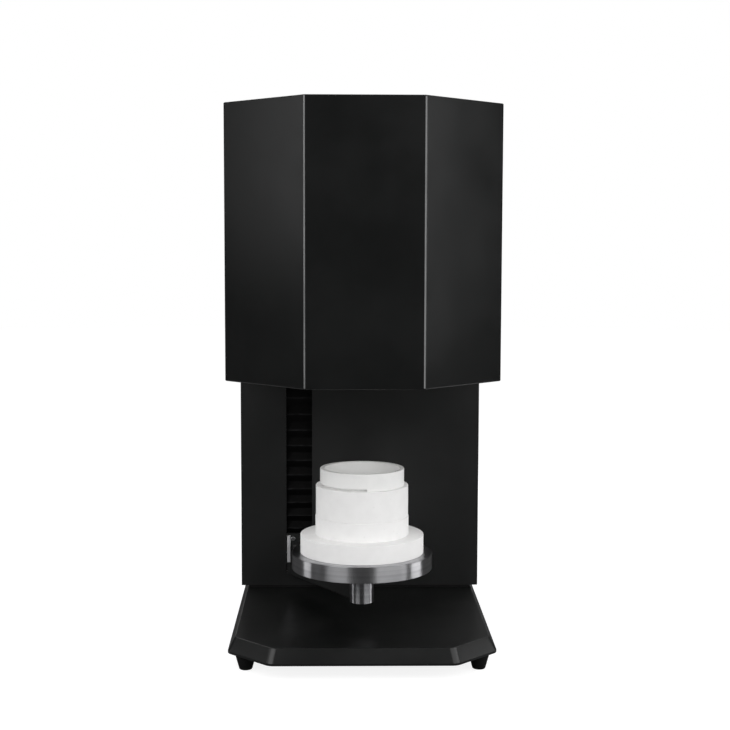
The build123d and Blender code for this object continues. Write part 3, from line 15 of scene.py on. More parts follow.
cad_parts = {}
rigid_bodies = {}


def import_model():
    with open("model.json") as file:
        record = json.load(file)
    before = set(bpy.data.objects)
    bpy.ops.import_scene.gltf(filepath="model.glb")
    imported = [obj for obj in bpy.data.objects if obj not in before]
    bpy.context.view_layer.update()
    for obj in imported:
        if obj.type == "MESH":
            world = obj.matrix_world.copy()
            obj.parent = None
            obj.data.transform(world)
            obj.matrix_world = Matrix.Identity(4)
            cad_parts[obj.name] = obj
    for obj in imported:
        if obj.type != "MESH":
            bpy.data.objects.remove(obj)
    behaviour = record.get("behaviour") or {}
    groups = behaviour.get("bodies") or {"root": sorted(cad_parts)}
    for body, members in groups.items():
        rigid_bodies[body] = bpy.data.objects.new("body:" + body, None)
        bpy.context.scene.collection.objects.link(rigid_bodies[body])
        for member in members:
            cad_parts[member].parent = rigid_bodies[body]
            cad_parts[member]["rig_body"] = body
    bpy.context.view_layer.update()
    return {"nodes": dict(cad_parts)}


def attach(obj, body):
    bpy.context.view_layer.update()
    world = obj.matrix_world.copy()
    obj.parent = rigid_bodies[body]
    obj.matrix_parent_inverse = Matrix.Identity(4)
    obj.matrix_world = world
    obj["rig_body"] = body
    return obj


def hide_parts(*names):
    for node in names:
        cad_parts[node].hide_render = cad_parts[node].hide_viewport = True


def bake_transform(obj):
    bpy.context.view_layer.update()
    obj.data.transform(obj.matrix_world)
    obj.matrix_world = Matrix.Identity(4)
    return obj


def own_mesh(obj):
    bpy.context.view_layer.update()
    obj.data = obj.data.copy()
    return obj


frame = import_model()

log = logging.getLogger("furnace")

MM = 0.001
AXIS_Y = -78.5
COLUMN_Y = 124.5
REAR_Y = 254.5
SHEET = 2.0
SLOT_X = -92.0
FURNACE_AXIS = Vector((0, AXIS_Y, 0))
FULL_TURN = 2 * math.pi
X, Y, Z = range(3)

# Working distances in millimetres.
OVERRUN = 60.0  # how far an outline runs past the line where it is cut off
NEAR = 0.1  # how near to a level or a radius counts as being on it
WELD = 1e-3  # how near two points are merged

Outline = Sequence[tuple[float, float]]
Colour = tuple[float, float, float]
Place = tuple[float, float, float]
Span = tuple[float, float]
Socket = bpy.types.NodeSocket


class Body(Enum):
    """The bodies that the new pieces ride on."""

    ROOT = "root"
    LIFT = "lift"
    CRUCIBLE = "crucible"


class Slot(Enum):
    """The finishes named in the record."""

    POWDER_COAT = "powder_coat"
    ZINC_STEEL = "zinc_steel"
    STAINLESS = "stainless"
    RUBBER = "rubber_black"
    BLACK_SCREW = "black_screw"
    BRIGHT_SCREW = "bright_screw"
    INSULATION = "fibre_insulation"
    WHITE_FIBRE = "white_fibre"
    CRUCIBLE = "crucible_ceramic"
    ELEMENT = "element_silicide"
    HOLDER = "holder_ceramic"
    ALUMINIUM = "aluminium_plain"
    RAIL_STEEL = "rail_block_steel"
    MOTOR = "motor_black"
    FAN = "fan_black"
    BOARD = "board_green"
    INLET = "inlet_black"
    ROCKER = "rocker_black"
    BELLOWS = "bellows_black"
    ARM = "arm_black"
    TURNED_STEEL = "turned_steel"


# ---- shaping pieces


def is_face(item: object) -> bool:
    """Tells whether a bmesh element is a face."""
    return isinstance(item, bmesh.types.BMFace)


def is_vert(item: object) -> bool:
    """Tells whether a bmesh element is a vertex."""
    return isinstance(item, bmesh.types.BMVert)


def is_edge(item: object) -> bool:
    """Tells whether a bmesh element is an edge."""
    return isinstance(item, bmesh.types.BMEdge)


def ends(edge: bmesh.types.BMEdge, axis: int) -> tuple[float, float]:
    """Lower and upper coordinate of an edge's two ends along an axis."""
    low, high = sorted(vert.co[axis] for vert in edge.verts)
    return low, high


def run(edge: bmesh.types.BMEdge, axis: int) -> float:
    """How far an edge runs along an axis."""
    low, high = ends(edge, axis)
    return high - low


def edges_at(verts: Iterable[bmesh.types.BMVert]) -> list[bmesh.types.BMEdge]:
    """Lists the edges that meet at some vertices."""
    return list({edge for vert in verts for edge in vert.link_edges})


def upright(height: float) -> Vector:
    """Step straight up."""
    return Vector((0, 0, height))


def mirrored(right: Outline) -> Outline:
    """Completes an outline that is the same left and right, from its right half, rear to front."""
    return [(-x, y) for x, y in right] + list(reversed(right))


class Bevel(NamedTuple):
    """Distance from an old edge to each new one, and the number of facets between them."""

    width: float
    facets: int


@dataclass
class Blank:
    """A piece being shaped, in millimetres, until it is handed over in metres."""

    bm: bmesh.types.BMesh = field(default_factory=bmesh.new)

    def prism(self, outline: Outline, low: float, high: float) -> None:
        """Raises a closed level outline into an upright prism.

        Args:
            outline: Corners in plan, in order.
            low: Height of the underside.
            high: Height of the top.
        """
        corners = [self.bm.verts.new((x, y, low)) for x, y in outline]
        foot = self.bm.faces.new(corners)
        self.extrude([foot], upright(high - low))
        self.face_outwards()

    def extrude(self, faces: list, step: Vector) -> list:
        """Extrudes faces by a step.

        Args:
            faces: Faces that move.
            step: How far they move.

        Returns:
            The moved faces.
        """
        made = bmesh.ops.extrude_face_region(self.bm, geom=faces)["geom"]
        moved = [item for item in made if is_vert(item)]
        self.move(step, moved)
        return [item for item in made if is_face(item)]

    def draw(self, edges: list, step: Vector) -> tuple[list, list]:
        """Draws a skin out of edges by a step.

        Args:
            edges: Edges that the skin starts from.
            step: How far it goes.

        Returns:
            The new vertices, and the edges at the skin's far side.
        """
        made = bmesh.ops.extrude_edge_only(self.bm, edges=edges)["geom"]
        moved = [item for item in made if is_vert(item)]
        self.move(step, moved)
        known = set(moved)
        far = [item for item in made if is_edge(item) and set(item.verts) <= known]
        return moved, far

    def chain(self, places: Iterable[Sequence[float]]) -> tuple[list, list]:
        """Adds points joined in a row.

        Args:
            places: Where the points go.

        Returns:
            The vertices and the edges.
        """
        points = [self.bm.verts.new(place) for place in places]
        return points, [self.bm.edges.new(pair) for pair in zip(points[:-1], points[1:])]

    def circle(self, radius: float, segments: int, place: Sequence[float] = (0, 0, 0)) -> list:
        """Adds a level circle.

        Args:
            radius: Its radius.
            segments: Its number of sides.
            place: Its centre.

        Returns:
            Its vertices.
        """
        verts = bmesh.ops.create_circle(self.bm, segments=segments, radius=radius)["verts"]
        self.move(place, verts)
        return verts

    def cone(self, low_r: float, high_r: float, depth: float, segments: int) -> list:
        """Adds a closed cone or rod round the origin, and gives its vertices."""
        return bmesh.ops.create_cone(
            self.bm, cap_ends=True, segments=segments, radius1=low_r, radius2=high_r, depth=depth
        )["verts"]

    def spin(
        self,
        geom: list,
        angle: float,
        steps: int,
        merge: bool = False,
        centre: Sequence[float] = (0, 0, 0),
        axis: Sequence[float] = (0, 0, 1),
    ) -> list:
        """Sweeps vertices and edges round an axis.

        Args:
            geom: What is swept.
            angle: How far, in radians.
            steps: Facets in the sweep.
            merge: Whether the end joins the start.
            centre: A point of the axis.
            axis: Direction of the axis.

        Returns:
            What lies at the end of the sweep.
        """
        return bmesh.ops.spin(
            self.bm,
            geom=geom,
            cent=centre,
            axis=axis,
            dvec=(0, 0, 0),
            angle=angle,
            steps=steps,
            use_merge=merge,
        )["geom_last"]

    def turn(self, profile: Outline, steps: int, closed: bool = False) -> None:
        """Spins a profile of (radius, height) points round the upright axis.

        Args:
            profile: The points, in order.
            steps: Facets in a full turn.
            closed: Whether the last point joins the first.
        """
        points, edges = self.chain([(radius, 0, height) for radius, height in profile])
        if closed:
            edges.append(self.bm.edges.new((points[-1], points[0])))
        self.spin(points + edges, FULL_TURN, steps, merge=True)
        self.weld()

    def disc(self, radius: float, low: float, high: float, steps: int) -> None:
        """Turns a solid disc or rod between two heights."""
        self.turn([(0, low), (radius, low), (radius, high), (0, high)], steps)

    def mark_wear_and_highlight(self, test: Callable[[bmesh.types.BMFace], bool]) -> None:
        """Marks the faces that pass a test for worn paint with a painted highlight, for the paint
        to show.
        """
        layer = self.bm.faces.layers.float.new("wear_and_highlight")
        for face in self.bm.faces:
            face[layer] = 1.0 if test(face) else 0.0

    def weld(self) -> None:
        """Merges doubled points and turns the faces outwards."""
        bmesh.ops.remove_doubles(self.bm, verts=self.bm.verts, dist=WELD)
        self.face_outwards()

    def face_outwards(self) -> None:
        """Recalculates the normals."""
        bmesh.ops.recalc_face_normals(self.bm, faces=self.bm.faces)

    def edges(self, test: Callable[[bmesh.types.BMEdge], bool]) -> list:
        """Lists the edges that pass a test."""
        return [edge for edge in self.bm.edges if test(edge)]

    def faces(self, test: Callable[[bmesh.types.BMFace], bool]) -> list:
        """Lists the faces that pass a test."""
        return [face for face in self.bm.faces if test(face)]

    def sharp_edges(self, degrees: float = 30.0) -> list:
        """Lists the edges that fold by more than an angle."""
        limit = math.radians(degrees)
        return self.edges(lambda edge: edge.is_manifold and edge.calc_face_angle() > limit)

    def round(self, edges: Iterable, bevel: Bevel) -> None:
        """Bevels edges."""
        bmesh.ops.bevel(
            self.bm,
            geom=list(edges),
            offset=bevel.width,
            offset_type="OFFSET",
            segments=bevel.facets,
            profile=0.5,
            affect="EDGES",
            material=-1,
            clamp_overlap=True,
        )

    def inset(self, faces: list, width: float, rise: float = 0.0) -> None:
        """Insets a region of faces, and raises it."""
        bmesh.ops.inset_region(
            self.bm,
            faces=faces,
            use_boundary=True,
            use_even_offset=True,
            thickness=width,
            depth=rise,
        )

    def cut_behind(self, y: float, cap: bool) -> None:
        """Cuts off what lies behind an upright plane, and closes the cut with a face if asked."""
        made = bmesh.ops.bisect_plane(
            self.bm,
            geom=self.bm.verts[:] + self.bm.edges[:] + self.bm.faces[:],
            dist=1e-4,
            plane_co=(0, y, 0),
            plane_no=(0, 1, 0),
            clear_outer=True,
        )["geom_cut"]
        if cap:
            rim = [item for item in made if is_edge(item)]
            bmesh.ops.contextual_create(self.bm, geom=rim)
            self.face_outwards()

    def open(self, faces: list) -> None:
        """Deletes faces."""
        bmesh.ops.delete(self.bm, geom=faces, context="FACES")

    def thicken(self, thickness: float) -> None:
        """Gives an open skin its wall, inwards."""
        bmesh.ops.solidify(self.bm, geom=self.bm.faces[:], thickness=thickness)

    def box(self, low: Vector, high: Vector) -> list:
        """Adds a box between two corners.

        Args:
            low: Lowest corner.
            high: Highest corner.

        Returns:
            The new edges.
        """
        made = bmesh.ops.create_cube(self.bm, size=1.0)["verts"]
        size = high - low
        bmesh.ops.scale(self.bm, verts=made, vec=size)
        self.move((low + high) / 2, made)
        return edges_at(made)

    def take(self, other: "Blank") -> None:
        """Takes another blank's shape into this one."""
        part = bpy.data.meshes.new("part")
        other.bm.to_mesh(part)
        other.bm.free()
        self.bm.from_mesh(part)
        bpy.data.meshes.remove(part)

    def move(self, step: Sequence[float], verts: Sequence | None = None) -> None:
        """Moves the piece, or some of its vertices."""
        chosen = self.bm.verts if verts is None else verts
        bmesh.ops.translate(self.bm, verts=chosen, vec=step)

    def rotate(self, axis: str, degrees: float, verts: Sequence | None = None) -> None:
        """Turns the piece, or some of its vertices, about the origin."""
        turn = Matrix.Rotation(math.radians(degrees), 3, axis)
        chosen = self.bm.verts if verts is None else verts
        bmesh.ops.rotate(self.bm, cent=(0, 0, 0), matrix=turn, verts=chosen)

    def hand_over(
        self,
        name: str,
        body: Body,
        slot: Slot,
        replaces: Sequence[str],
        sharp: float = 32.0,
        finish: "Finish | None" = None,
        even_light: bool = True,
    ) -> bpy.types.Object:
        """Makes the finished object, smooth except over sharp folds, and ties it to the frame.

        Args:
            name: Name of the piece.
            body: Body that it rides on.
            slot: Finish that it takes.
            replaces: CAD nodes that it stands for.
            sharp: Fold angle in degrees above which an edge stays crisp.
            finish: The finish, where it isn't the slot's usual one.
            even_light: Whether large faces keep their own normals beside small bevels.

        Returns:
            The object.
        """
        bmesh.ops.scale(self.bm, vec=(MM, MM, MM), verts=self.bm.verts)
        limit = math.radians(sharp)
        for face in self.bm.faces:
            face.smooth = True
        for edge in self.bm.edges:
            edge.smooth = edge.is_manifold and edge.calc_face_angle() < limit
        mesh = bpy.data.meshes.new(name)
        self.bm.to_mesh(mesh)
        self.bm.free()
        piece = bpy.data.objects.new(name, mesh)
        bpy.context.scene.collection.objects.link(piece)
        mesh.materials.append((finish or FINISHES[slot]).material())
        if even_light:
            normals = piece.modifiers.new("even light", "WEIGHTED_NORMAL")
            normals.keep_sharp = True
        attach(piece, body.value)
        if replaces:
            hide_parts(*replaces)
        log.info("%s: %d faces, rides on %s", name, len(mesh.polygons), body.value)
        return piece


# ---- node craft


def grey(level: float) -> Colour:
    """Gives a neutral colour."""
    return (level, level, level)


def opaque(colour: Colour) -> tuple[float, float, float, float]:
    """Adds full alpha to a colour."""
    return (*colour, 1.0)


class Wiring:
    """Lays shader nodes in a tree and joins them."""

    def __init__(self, tree: bpy.types.NodeTree) -> None:
        """Starts with an empty tree."""
        self.tree = tree
        tree.nodes.clear()

    def lay(self, kind: str, inputs: dict | None = None, **settings: object) -> bpy.types.Node:
        """Adds a node.

        Args:
            kind: Blender's node type.
            inputs: Sockets to join or plain values to set, by socket name or number.
            settings: Properties of the node.

        Returns:
            The node.
        """
        node = self.tree.nodes.new(kind)
        for key, value in settings.items():
            setattr(node, key, value)
        self.feed(node, inputs or {})
        return node

    def feed(self, node: bpy.types.Node, inputs: Mapping[str | int, object]) -> None:
        """Joins sockets to a node's inputs, or sets plain values there."""
        for key, value in inputs.items():
            if isinstance(value, Socket):
                self.tree.links.new(value, node.inputs[key])
            else:
                node.inputs[key].default_value = value

    def math(self, operation: str, first: object, second: object = 0.0) -> Socket:
        """Works out one number from one or two."""
        return self.lay("ShaderNodeMath", {0: first, 1: second}, operation=operation).outputs[0]

    def times(self, first: object, second: object) -> Socket:
        """Multiplies two numbers."""
        return self.math("MULTIPLY", first, second)

    def plus(self, first: object, second: object) -> Socket:
        """Adds two numbers."""
        return self.math("ADD", first, second)

    def vector(self, operation: str, first: object, second: object = (0, 0, 0)) -> bpy.types.Node:
        """Works out a vector or its length."""
        return self.lay("ShaderNodeVectorMath", {0: first, 1: second}, operation=operation)

    def split(self, vector: object) -> Sequence[Socket]:
        """Takes a vector apart into its X, Y and Z."""
        return self.lay("ShaderNodeSeparateXYZ", {0: vector}).outputs

    def fade(
        self, value: Socket, low: float, high: float, start: float = 0.0, end: float = 1.0
    ) -> Socket:
        """Maps a value smoothly from one range to another.

        Args:
            value: What is mapped.
            low: Where the range starts.
            high: Where it ends.
            start: Result at low.
            end: Result at high.

        Returns:
            The mapped value.
        """
        node = self.lay(
            "ShaderNodeMapRange",
            {0: value, 1: low, 2: high, 3: start, 4: end},
            interpolation_type="SMOOTHSTEP",
        )
        return node.outputs[0]

    def blend(self, share: object, first: Socket | Colour, second: Socket | Colour) -> Socket:
        """Mixes two colours, each a socket or a plain opaque colour."""
        first, second = (
            colour if isinstance(colour, Socket) else opaque(colour) for colour in (first, second)
        )
        node = self.lay("ShaderNodeMix", {0: share, 6: first, 7: second}, data_type="RGBA")
        return node.outputs[2]

    def noise(
        self, vector: Socket, scale: object, detail: float = 3.0, roughness: float = 0.55
    ) -> Socket:
        """Reads a noise at a scale."""
        inputs = {"Vector": vector, "Scale": scale, "Detail": detail, "Roughness": roughness}
        return self.lay("ShaderNodeTexNoise", inputs).outputs[0]

    def place(
        self, centre: Vector = Vector((0, 0, 0)), stretch: Vector = Vector((1, 1, 1))
    ) -> Socket:
        """Gives Object coordinates measured from a centre and stretched."""
        source = self.lay("ShaderNodeTexCoord").outputs["Object"]
        shift = Vector([-c * s for c, s in zip(centre, stretch)])
        return self.lay(
            "ShaderNodeMapping", {"Vector": source, "Location": shift, "Scale": stretch}
        ).outputs[0]

    def bump(self, height: Socket, distance: float, strength: float = 1.0) -> Socket:
        """Turns a height into a normal."""
        inputs = {"Height": height, "Distance": distance, "Strength": strength}
        return self.lay("ShaderNodeBump", inputs).outputs[0]


@dataclass(frozen=True)
class Effect:
    """A node group shared by several finishes: a vector and named numbers in, numbers out."""

    name: str
    inputs: tuple[tuple[str, float], ...]
    outputs: tuple[str, ...]
    fill: Callable[..., dict[str, Socket]]

    def group(self) -> bpy.types.NodeTree:
        """Builds the group once, and gives it back after that.

        Returns:
            The node group.
        """
        found = bpy.data.node_groups.get(self.name)
        if found:
            return found
        tree = bpy.data.node_groups.new(self.name, "ShaderNodeTree")
        tree.interface.new_socket("Vector", in_out="INPUT", socket_type="NodeSocketVector")
        for label, default in self.inputs:
            socket = tree.interface.new_socket(label, in_out="INPUT", socket_type="NodeSocketFloat")
            socket.default_value = default
        for label in self.outputs:
            tree.interface.new_socket(label, in_out="OUTPUT", socket_type="NodeSocketFloat")
        wiring = Wiring(tree)
        entry = wiring.lay("NodeGroupInput")
        labels = ("Vector", *(label for label, _ in self.inputs))
        results = self.fill(wiring, *(entry.outputs[label] for label in labels))
        wiring.lay("NodeGroupOutput", results)
        return tree

    def use(self, wiring: Wiring, **inputs: object) -> dict[str, Socket]:
        """Places the group in a material.

        Args:
            wiring: The material's wiring.
            inputs: Values or sockets for the group's inputs.

        Returns:
            The group's outputs by name.
        """
        node = wiring.lay("ShaderNodeGroup", node_tree=self.group())
        wiring.feed(node, inputs)
        return {label: node.outputs[label] for label in self.outputs}


def fill_edge_wear(
    wiring: Wiring, vector: Socket, width: Socket, amount: Socket
) -> dict[str, Socket]:
    """Marks the strip along outer edges, broken up where hands miss it."""
    rounded = wiring.lay("ShaderNodeBevel", {"Radius": width}, samples=4)
    flat = wiring.lay("ShaderNodeNewGeometry").outputs["Normal"]
    match = wiring.vector("DOT_PRODUCT", rounded.outputs[0], flat).outputs["Value"]
    strip = wiring.fade(match, 0.995, 0.93)
    patches = wiring.fade(wiring.noise(vector, 46.0, 4.0), 0.38, 0.66)
    mask = wiring.times(strip, patches)
    return {"Mask": wiring.times(mask, amount)}


def fill_grain(wiring: Wiring, vector: Socket, scale: Socket) -> dict[str, Socket]:
    """Fine paint grain over a slow unevenness."""
    fine = wiring.noise(vector, scale, 2.0, 0.5)
    coarse = wiring.times(scale, 0.23)
    orange = wiring.noise(vector, coarse, 1.0, 0.4)
    height = wiring.plus(wiring.times(fine, 0.55), wiring.times(orange, 0.45))
    return {"Height": height, "Tone": wiring.noise(vector, 9.0, 5.0, 0.6)}


def fill_dust(wiring: Wiring, vector: Socket, amount: Socket) -> dict[str, Socket]:
    """Settled dust, where a surface faces up."""
    facing = wiring.split(wiring.lay("ShaderNodeNewGeometry").outputs["Normal"])[Z]
    level = wiring.fade(facing, 0.35, 0.95)
    drift = wiring.fade(wiring.noise(vector, 14.0, 6.0, 0.65), 0.34, 0.72)
    specks = wiring.fade(wiring.noise(vector, 620.0, 1.0), 0.56, 0.74)
    cover = wiring.plus(drift, specks)
    mask = wiring.times(wiring.times(level, cover), amount)
    return {"Mask": mask}


def fill_turning(wiring: Wiring, vector: Socket, pitch: Socket) -> dict[str, Socket]:
    """Rings left by a cutting tool, round the Z axis of the given coordinates."""
    parts = wiring.split(vector)
    flat = wiring.lay("ShaderNodeCombineXYZ", {X: parts[X], Y: parts[Y]}).outputs[0]
    radius = wiring.vector("LENGTH", flat).outputs["Value"]
    rings = wiring.lay("ShaderNodeCombineXYZ", {X: radius, Y: parts[Z]}).outputs[0]
    fine = wiring.noise(rings, pitch, 3.0, 0.7)
    broad = wiring.noise(rings, wiring.times(pitch, 0.11), 2.0, 0.6)
    height = wiring.plus(wiring.times(fine, 0.7), wiring.times(broad, 0.3))
    return {"Height": height, "Tone": broad}


def fill_brushing(wiring: Wiring, vector: Socket, pitch: Socket) -> dict[str, Socket]:
    """Straight marks along the long direction of stretched coordinates."""
    fine = wiring.noise(vector, pitch, 4.0, 0.7)
    broad = wiring.noise(vector, wiring.times(pitch, 0.07), 2.0, 0.5)
    return {"Height": fine, "Tone": broad}


def fill_fibres(wiring: Wiring, vector: Socket, scale: Socket) -> dict[str, Socket]:
    """Felted ceramic fibre: short strands, small pits and soft lumps."""
    strands = wiring.lay(
        "ShaderNodeTexNoise",
        {"Vector": vector, "Scale": scale, "Detail": 5.0, "Roughness": 0.7, "Distortion": 1.4},
    ).outputs[0]
    lumps = wiring.noise(vector, wiring.times(scale, 0.12), 2.0, 0.5)
    pits = wiring.fade(wiring.noise(vector, wiring.times(scale, 0.45), 1.0, 0.5), 0.3, 0.22)
    relief = wiring.plus(wiring.times(strands, 0.5), wiring.times(lumps, 0.5))
    return {
        "Height": wiring.math("SUBTRACT", relief, wiring.times(pits, 0.3)),
        "Tone": lumps,
        "Pits": pits,
    }


def fill_weave(wiring: Wiring, vector: Socket, pitch: Socket) -> dict[str, Socket]:
    """Plain weave of fine threads across and up the cloth."""
    bands = []
    for direction in ("X", "Z"):
        wave = wiring.lay(
            "ShaderNodeTexWave",
            {"Vector": vector, "Scale": pitch, "Distortion": 0.6, "Detail": 1.0},
            wave_type="BANDS",
            bands_direction=direction,
            wave_profile="SIN",
        )
        bands.append(wave.outputs[1])
    height = wiring.math("MAXIMUM", bands[0], bands[1])
    return {"Height": height, "Tone": wiring.noise(vector, 40.0, 3.0)}


EDGE_WEAR = Effect("edge wear", (("Width", 0.0006), ("Amount", 0.3)), ("Mask",), fill_edge_wear)
GRAIN = Effect("paint grain", (("Scale", 900.0),), ("Height", "Tone"), fill_grain)
DUST = Effect("settled dust", (("Amount", 0.1),), ("Mask",), fill_dust)
TURNING = Effect("turning marks", (("Pitch", 2500.0),), ("Height", "Tone"), fill_turning)
BRUSHING = Effect("brush marks", (("Pitch", 900.0),), ("Height", "Tone"), fill_brushing)
FIBRES = Effect("felted fibre", (("Scale", 600.0),), ("Height", "Tone", "Pits"), fill_fibres)
WEAVE = Effect("plain weave", (("Pitch", 200.0),), ("Height", "Tone"), fill_weave)


DUST_TONE: Colour = (0.30, 0.29, 0.27)
STUDIO_WHITE = opaque(grey(1.0))


# ---- finishes


@dataclass(frozen=True)
class Finish:
    """A surface finish, made into one material."""

    label: str

    def material(self) -> bpy.types.Material:
        """Builds the material once, and gives it back after that.

        Returns:
            The material.
        """
        found = bpy.data.materials.get(self.label)
        if found:
            return found
        material = bpy.data.materials.new(self.label)
        material.use_nodes = True
        wiring = Wiring(material.node_tree)
        shader = wiring.lay("ShaderNodeBsdfPrincipled")
        wiring.feed(shader, self.inputs(wiring))
        wiring.lay("ShaderNodeOutputMaterial", {"Surface": shader.outputs[0]})
        return material

    def inputs(self, wiring: Wiring) -> dict[str, object]:
        """Lays the finish's pattern.

        Args:
            wiring: The material's wiring.

        Returns:
            Sockets and plain values for the shader, by the names of its inputs.
        """
        raise NotImplementedError


@dataclass(frozen=True)
class PowderCoat(Finish):
    """Satin black powder paint with a fine grain, faint wear on its folds, worn paint with a
    painted highlight on marked folds, and a little dust.
    """

    colour: Colour = (0.0036, 0.0040, 0.0040)
    worn: Colour = (0.045, 0.046, 0.047)
    # Colour of the marked folds: worn paint, and partly a painted highlight.
    bright: Colour = (0.16, 0.162, 0.164)
    roughness: float = 0.32
    specular: float = 0.5
    grain: float = 820.0
    depth: float = 0.000022
    dust: float = 0.012
    wear: float = 0.35

    def inputs(self, wiring: Wiring) -> dict[str, object]:
        """Lays grain, wear, a worn and painted highlight on marked folds, and dust over the paint.
        """
        place = wiring.place()
        grain = GRAIN.use(wiring, Vector=place, Scale=self.grain)
        wear = EDGE_WEAR.use(wiring, Vector=place, Width=0.0007, Amount=self.wear)["Mask"]
        dust = DUST.use(wiring, Vector=place, Amount=self.dust)["Mask"]
        deeper = tuple(0.82 * part for part in self.colour)
        paint = wiring.blend(grain["Tone"], deeper, tuple(1.18 * part for part in self.colour))
        paint = wiring.blend(wear, paint, self.worn)
        # Marked folds turn lighter: partly worn paint, partly a painted highlight standing in for
        # lamp glints.
        wear_and_highlight = wiring.lay("ShaderNodeAttribute", attribute_name="wear_and_highlight").outputs["Fac"]
        wear_and_highlight = wiring.times(
            wear_and_highlight, wiring.fade(wiring.noise(place, 15.0, 3.0), 0.3, 0.7, 0.75, 1.0)
        )
        paint = wiring.blend(wear_and_highlight, paint, self.bright)
        paint = wiring.blend(dust, paint, DUST_TONE)
        rough = wiring.fade(grain["Tone"], 0.3, 0.7, self.roughness - 0.03, self.roughness + 0.04)
        rough = wiring.plus(rough, wiring.times(dust, 0.5))
        return {
            "Base Color": paint,
            "Roughness": rough,
            "Normal": wiring.bump(grain["Height"], self.depth),
            "Specular IOR Level": self.specular,
        }


@dataclass(frozen=True)
class Metal(Finish):
    """Bare metal, with turned rings round an axis or straight brush marks."""

    colour: Colour
    dark: Colour
    roughness: float
    pitch: float
    depth: float
    anisotropy: float = 0.0
    centre: Place = (0.0, AXIS_Y * MM, 0.0)
    stretch: Place = (1.0, 1.0, 1.0)
    turned: bool = True

    def inputs(self, wiring: Wiring) -> dict[str, object]:
        """Lays tool marks and a slow tarnish over the metal."""
        here = wiring.place(Vector(self.centre))
        marks = (
            TURNING.use(wiring, Vector=here, Pitch=self.pitch)
            if self.turned
            else BRUSHING.use(
                wiring, Vector=wiring.place(stretch=Vector(self.stretch)), Pitch=self.pitch
            )
        )
        tarnish = wiring.fade(wiring.noise(here, 22.0, 5.0, 0.6), 0.35, 0.7, 0.0, 0.35)
        share = wiring.plus(wiring.fade(marks["Tone"], 0.36, 0.64, 0.0, 0.55), tarnish)
        colour = wiring.blend(share, self.colour, self.dark)
        rough = wiring.fade(marks["Tone"], 0.3, 0.7, self.roughness * 0.92, self.roughness * 1.08)
        inputs = {
            "Base Color": colour,
            "Roughness": rough,
            "Normal": wiring.bump(marks["Height"], self.depth),
            "Metallic": 1.0,
            "Anisotropic": self.anisotropy,
        }
        if self.turned and self.anisotropy:
            around = wiring.vector("CROSS_PRODUCT", (0, 0, 1), here).outputs[0]
            inputs["Anisotropic Rotation"] = 0.25
            inputs["Tangent"] = wiring.vector("NORMALIZE", around).outputs[0]
        return inputs


@dataclass(frozen=True)
class Fibre(Finish):
    """White vacuum-formed ceramic fibre."""

    colour: Colour
    shade: Colour
    scale: float = 520.0
    depth: float = 0.00012
    roughness: float = 0.92

    def inputs(self, wiring: Wiring) -> dict[str, object]:
        """Lays strands, lumps and pits over the fibre, with painted shade in the pits."""
        felt = FIBRES.use(wiring, Vector=wiring.place(), Scale=self.scale)
        colour = wiring.blend(wiring.fade(felt["Tone"], 0.3, 0.7), self.shade, self.colour)
        # Painted shade: the small pits are darkened.
        colour = wiring.blend(wiring.times(felt["Pits"], 0.12), colour, (0.55, 0.53, 0.50))
        rough = wiring.fade(felt["Tone"], 0.2, 0.8, self.roughness - 0.05, self.roughness + 0.05)
        return {
            "Base Color": colour,
            "Roughness": rough,
            "Normal": wiring.bump(felt["Height"], self.depth),
            "Specular IOR Level": 0.25,
        }


@dataclass(frozen=True)
class Moulded(Finish):
    """Moulded or cast matter with a fine surface: plastic, rubber, ceramic or enamel."""

    colour: Colour
    second: Colour
    roughness: float
    grain: float
    depth: float
    tone_scale: float = 30.0
    wear: float = 0.0
    worn: Colour = grey(0.2)
    coat: float = 0.0
    specular: float = 0.5
    dust: float = 0.0

    def inputs(self, wiring: Wiring) -> dict[str, object]:
        """Lays grain, tone, wear and dust over the surface."""
        place = wiring.place()
        grain = GRAIN.use(wiring, Vector=place, Scale=self.grain)
        tone = wiring.fade(wiring.noise(place, self.tone_scale, 5.0, 0.6), 0.3, 0.7)
        colour = wiring.blend(tone, self.colour, self.second)
        if self.wear:
            wear = EDGE_WEAR.use(wiring, Vector=place, Width=0.0006, Amount=self.wear)["Mask"]
            colour = wiring.blend(wear, colour, self.worn)
        if self.dust:
            dust = DUST.use(wiring, Vector=place, Amount=self.dust)["Mask"]
            colour = wiring.blend(dust, colour, DUST_TONE)
        rough = wiring.fade(tone, 0.0, 1.0, self.roughness * 0.9, min(1.0, self.roughness * 1.1))
        return {
            "Base Color": colour,
            "Roughness": rough,
            "Normal": wiring.bump(grain["Height"], self.depth),
            "Specular IOR Level": self.specular,
            "Coat Weight": self.coat,
        }


@dataclass(frozen=True)
class InletPlastic(Moulded):
    """Plastic of the mains inlet, with its three plated contacts.

    The plating fades in from the first to the second distance of each span, in metres.
    """

    contact_x: float = 0.110
    contact_pitch: float = 0.007
    contact_z: float = 0.091
    half_width: Span = (0.0014, 0.0012)
    half_height: Span = (0.0046, 0.0044)
    foot_y: Span = (0.2380, 0.2382)
    tip_y: Span = (0.2530, 0.2528)
    plating: Colour = (0.62, 0.60, 0.55)

    def inputs(self, wiring: Wiring) -> dict[str, object]:
        """Lays the plastic, then the plating where the contacts stand."""
        inputs = super().inputs(wiring)
        here = wiring.split(wiring.place())
        aside = wiring.math("ABSOLUTE", wiring.math("SUBTRACT", here[X], self.contact_x))
        outer = wiring.math("ABSOLUTE", wiring.math("SUBTRACT", aside, self.contact_pitch))
        across = wiring.math("MINIMUM", aside, outer)
        off_level = wiring.math("ABSOLUTE", wiring.math("SUBTRACT", here[Z], self.contact_z))
        mask = wiring.times(
            wiring.fade(across, *self.half_width), wiring.fade(off_level, *self.half_height)
        )
        mask = wiring.times(mask, wiring.fade(here[Y], *self.foot_y))
        mask = wiring.times(mask, wiring.fade(here[Y], *self.tip_y))
        plated = wiring.blend(mask, inputs["Base Color"], self.plating)
        return inputs | {"Base Color": plated, "Metallic": mask}


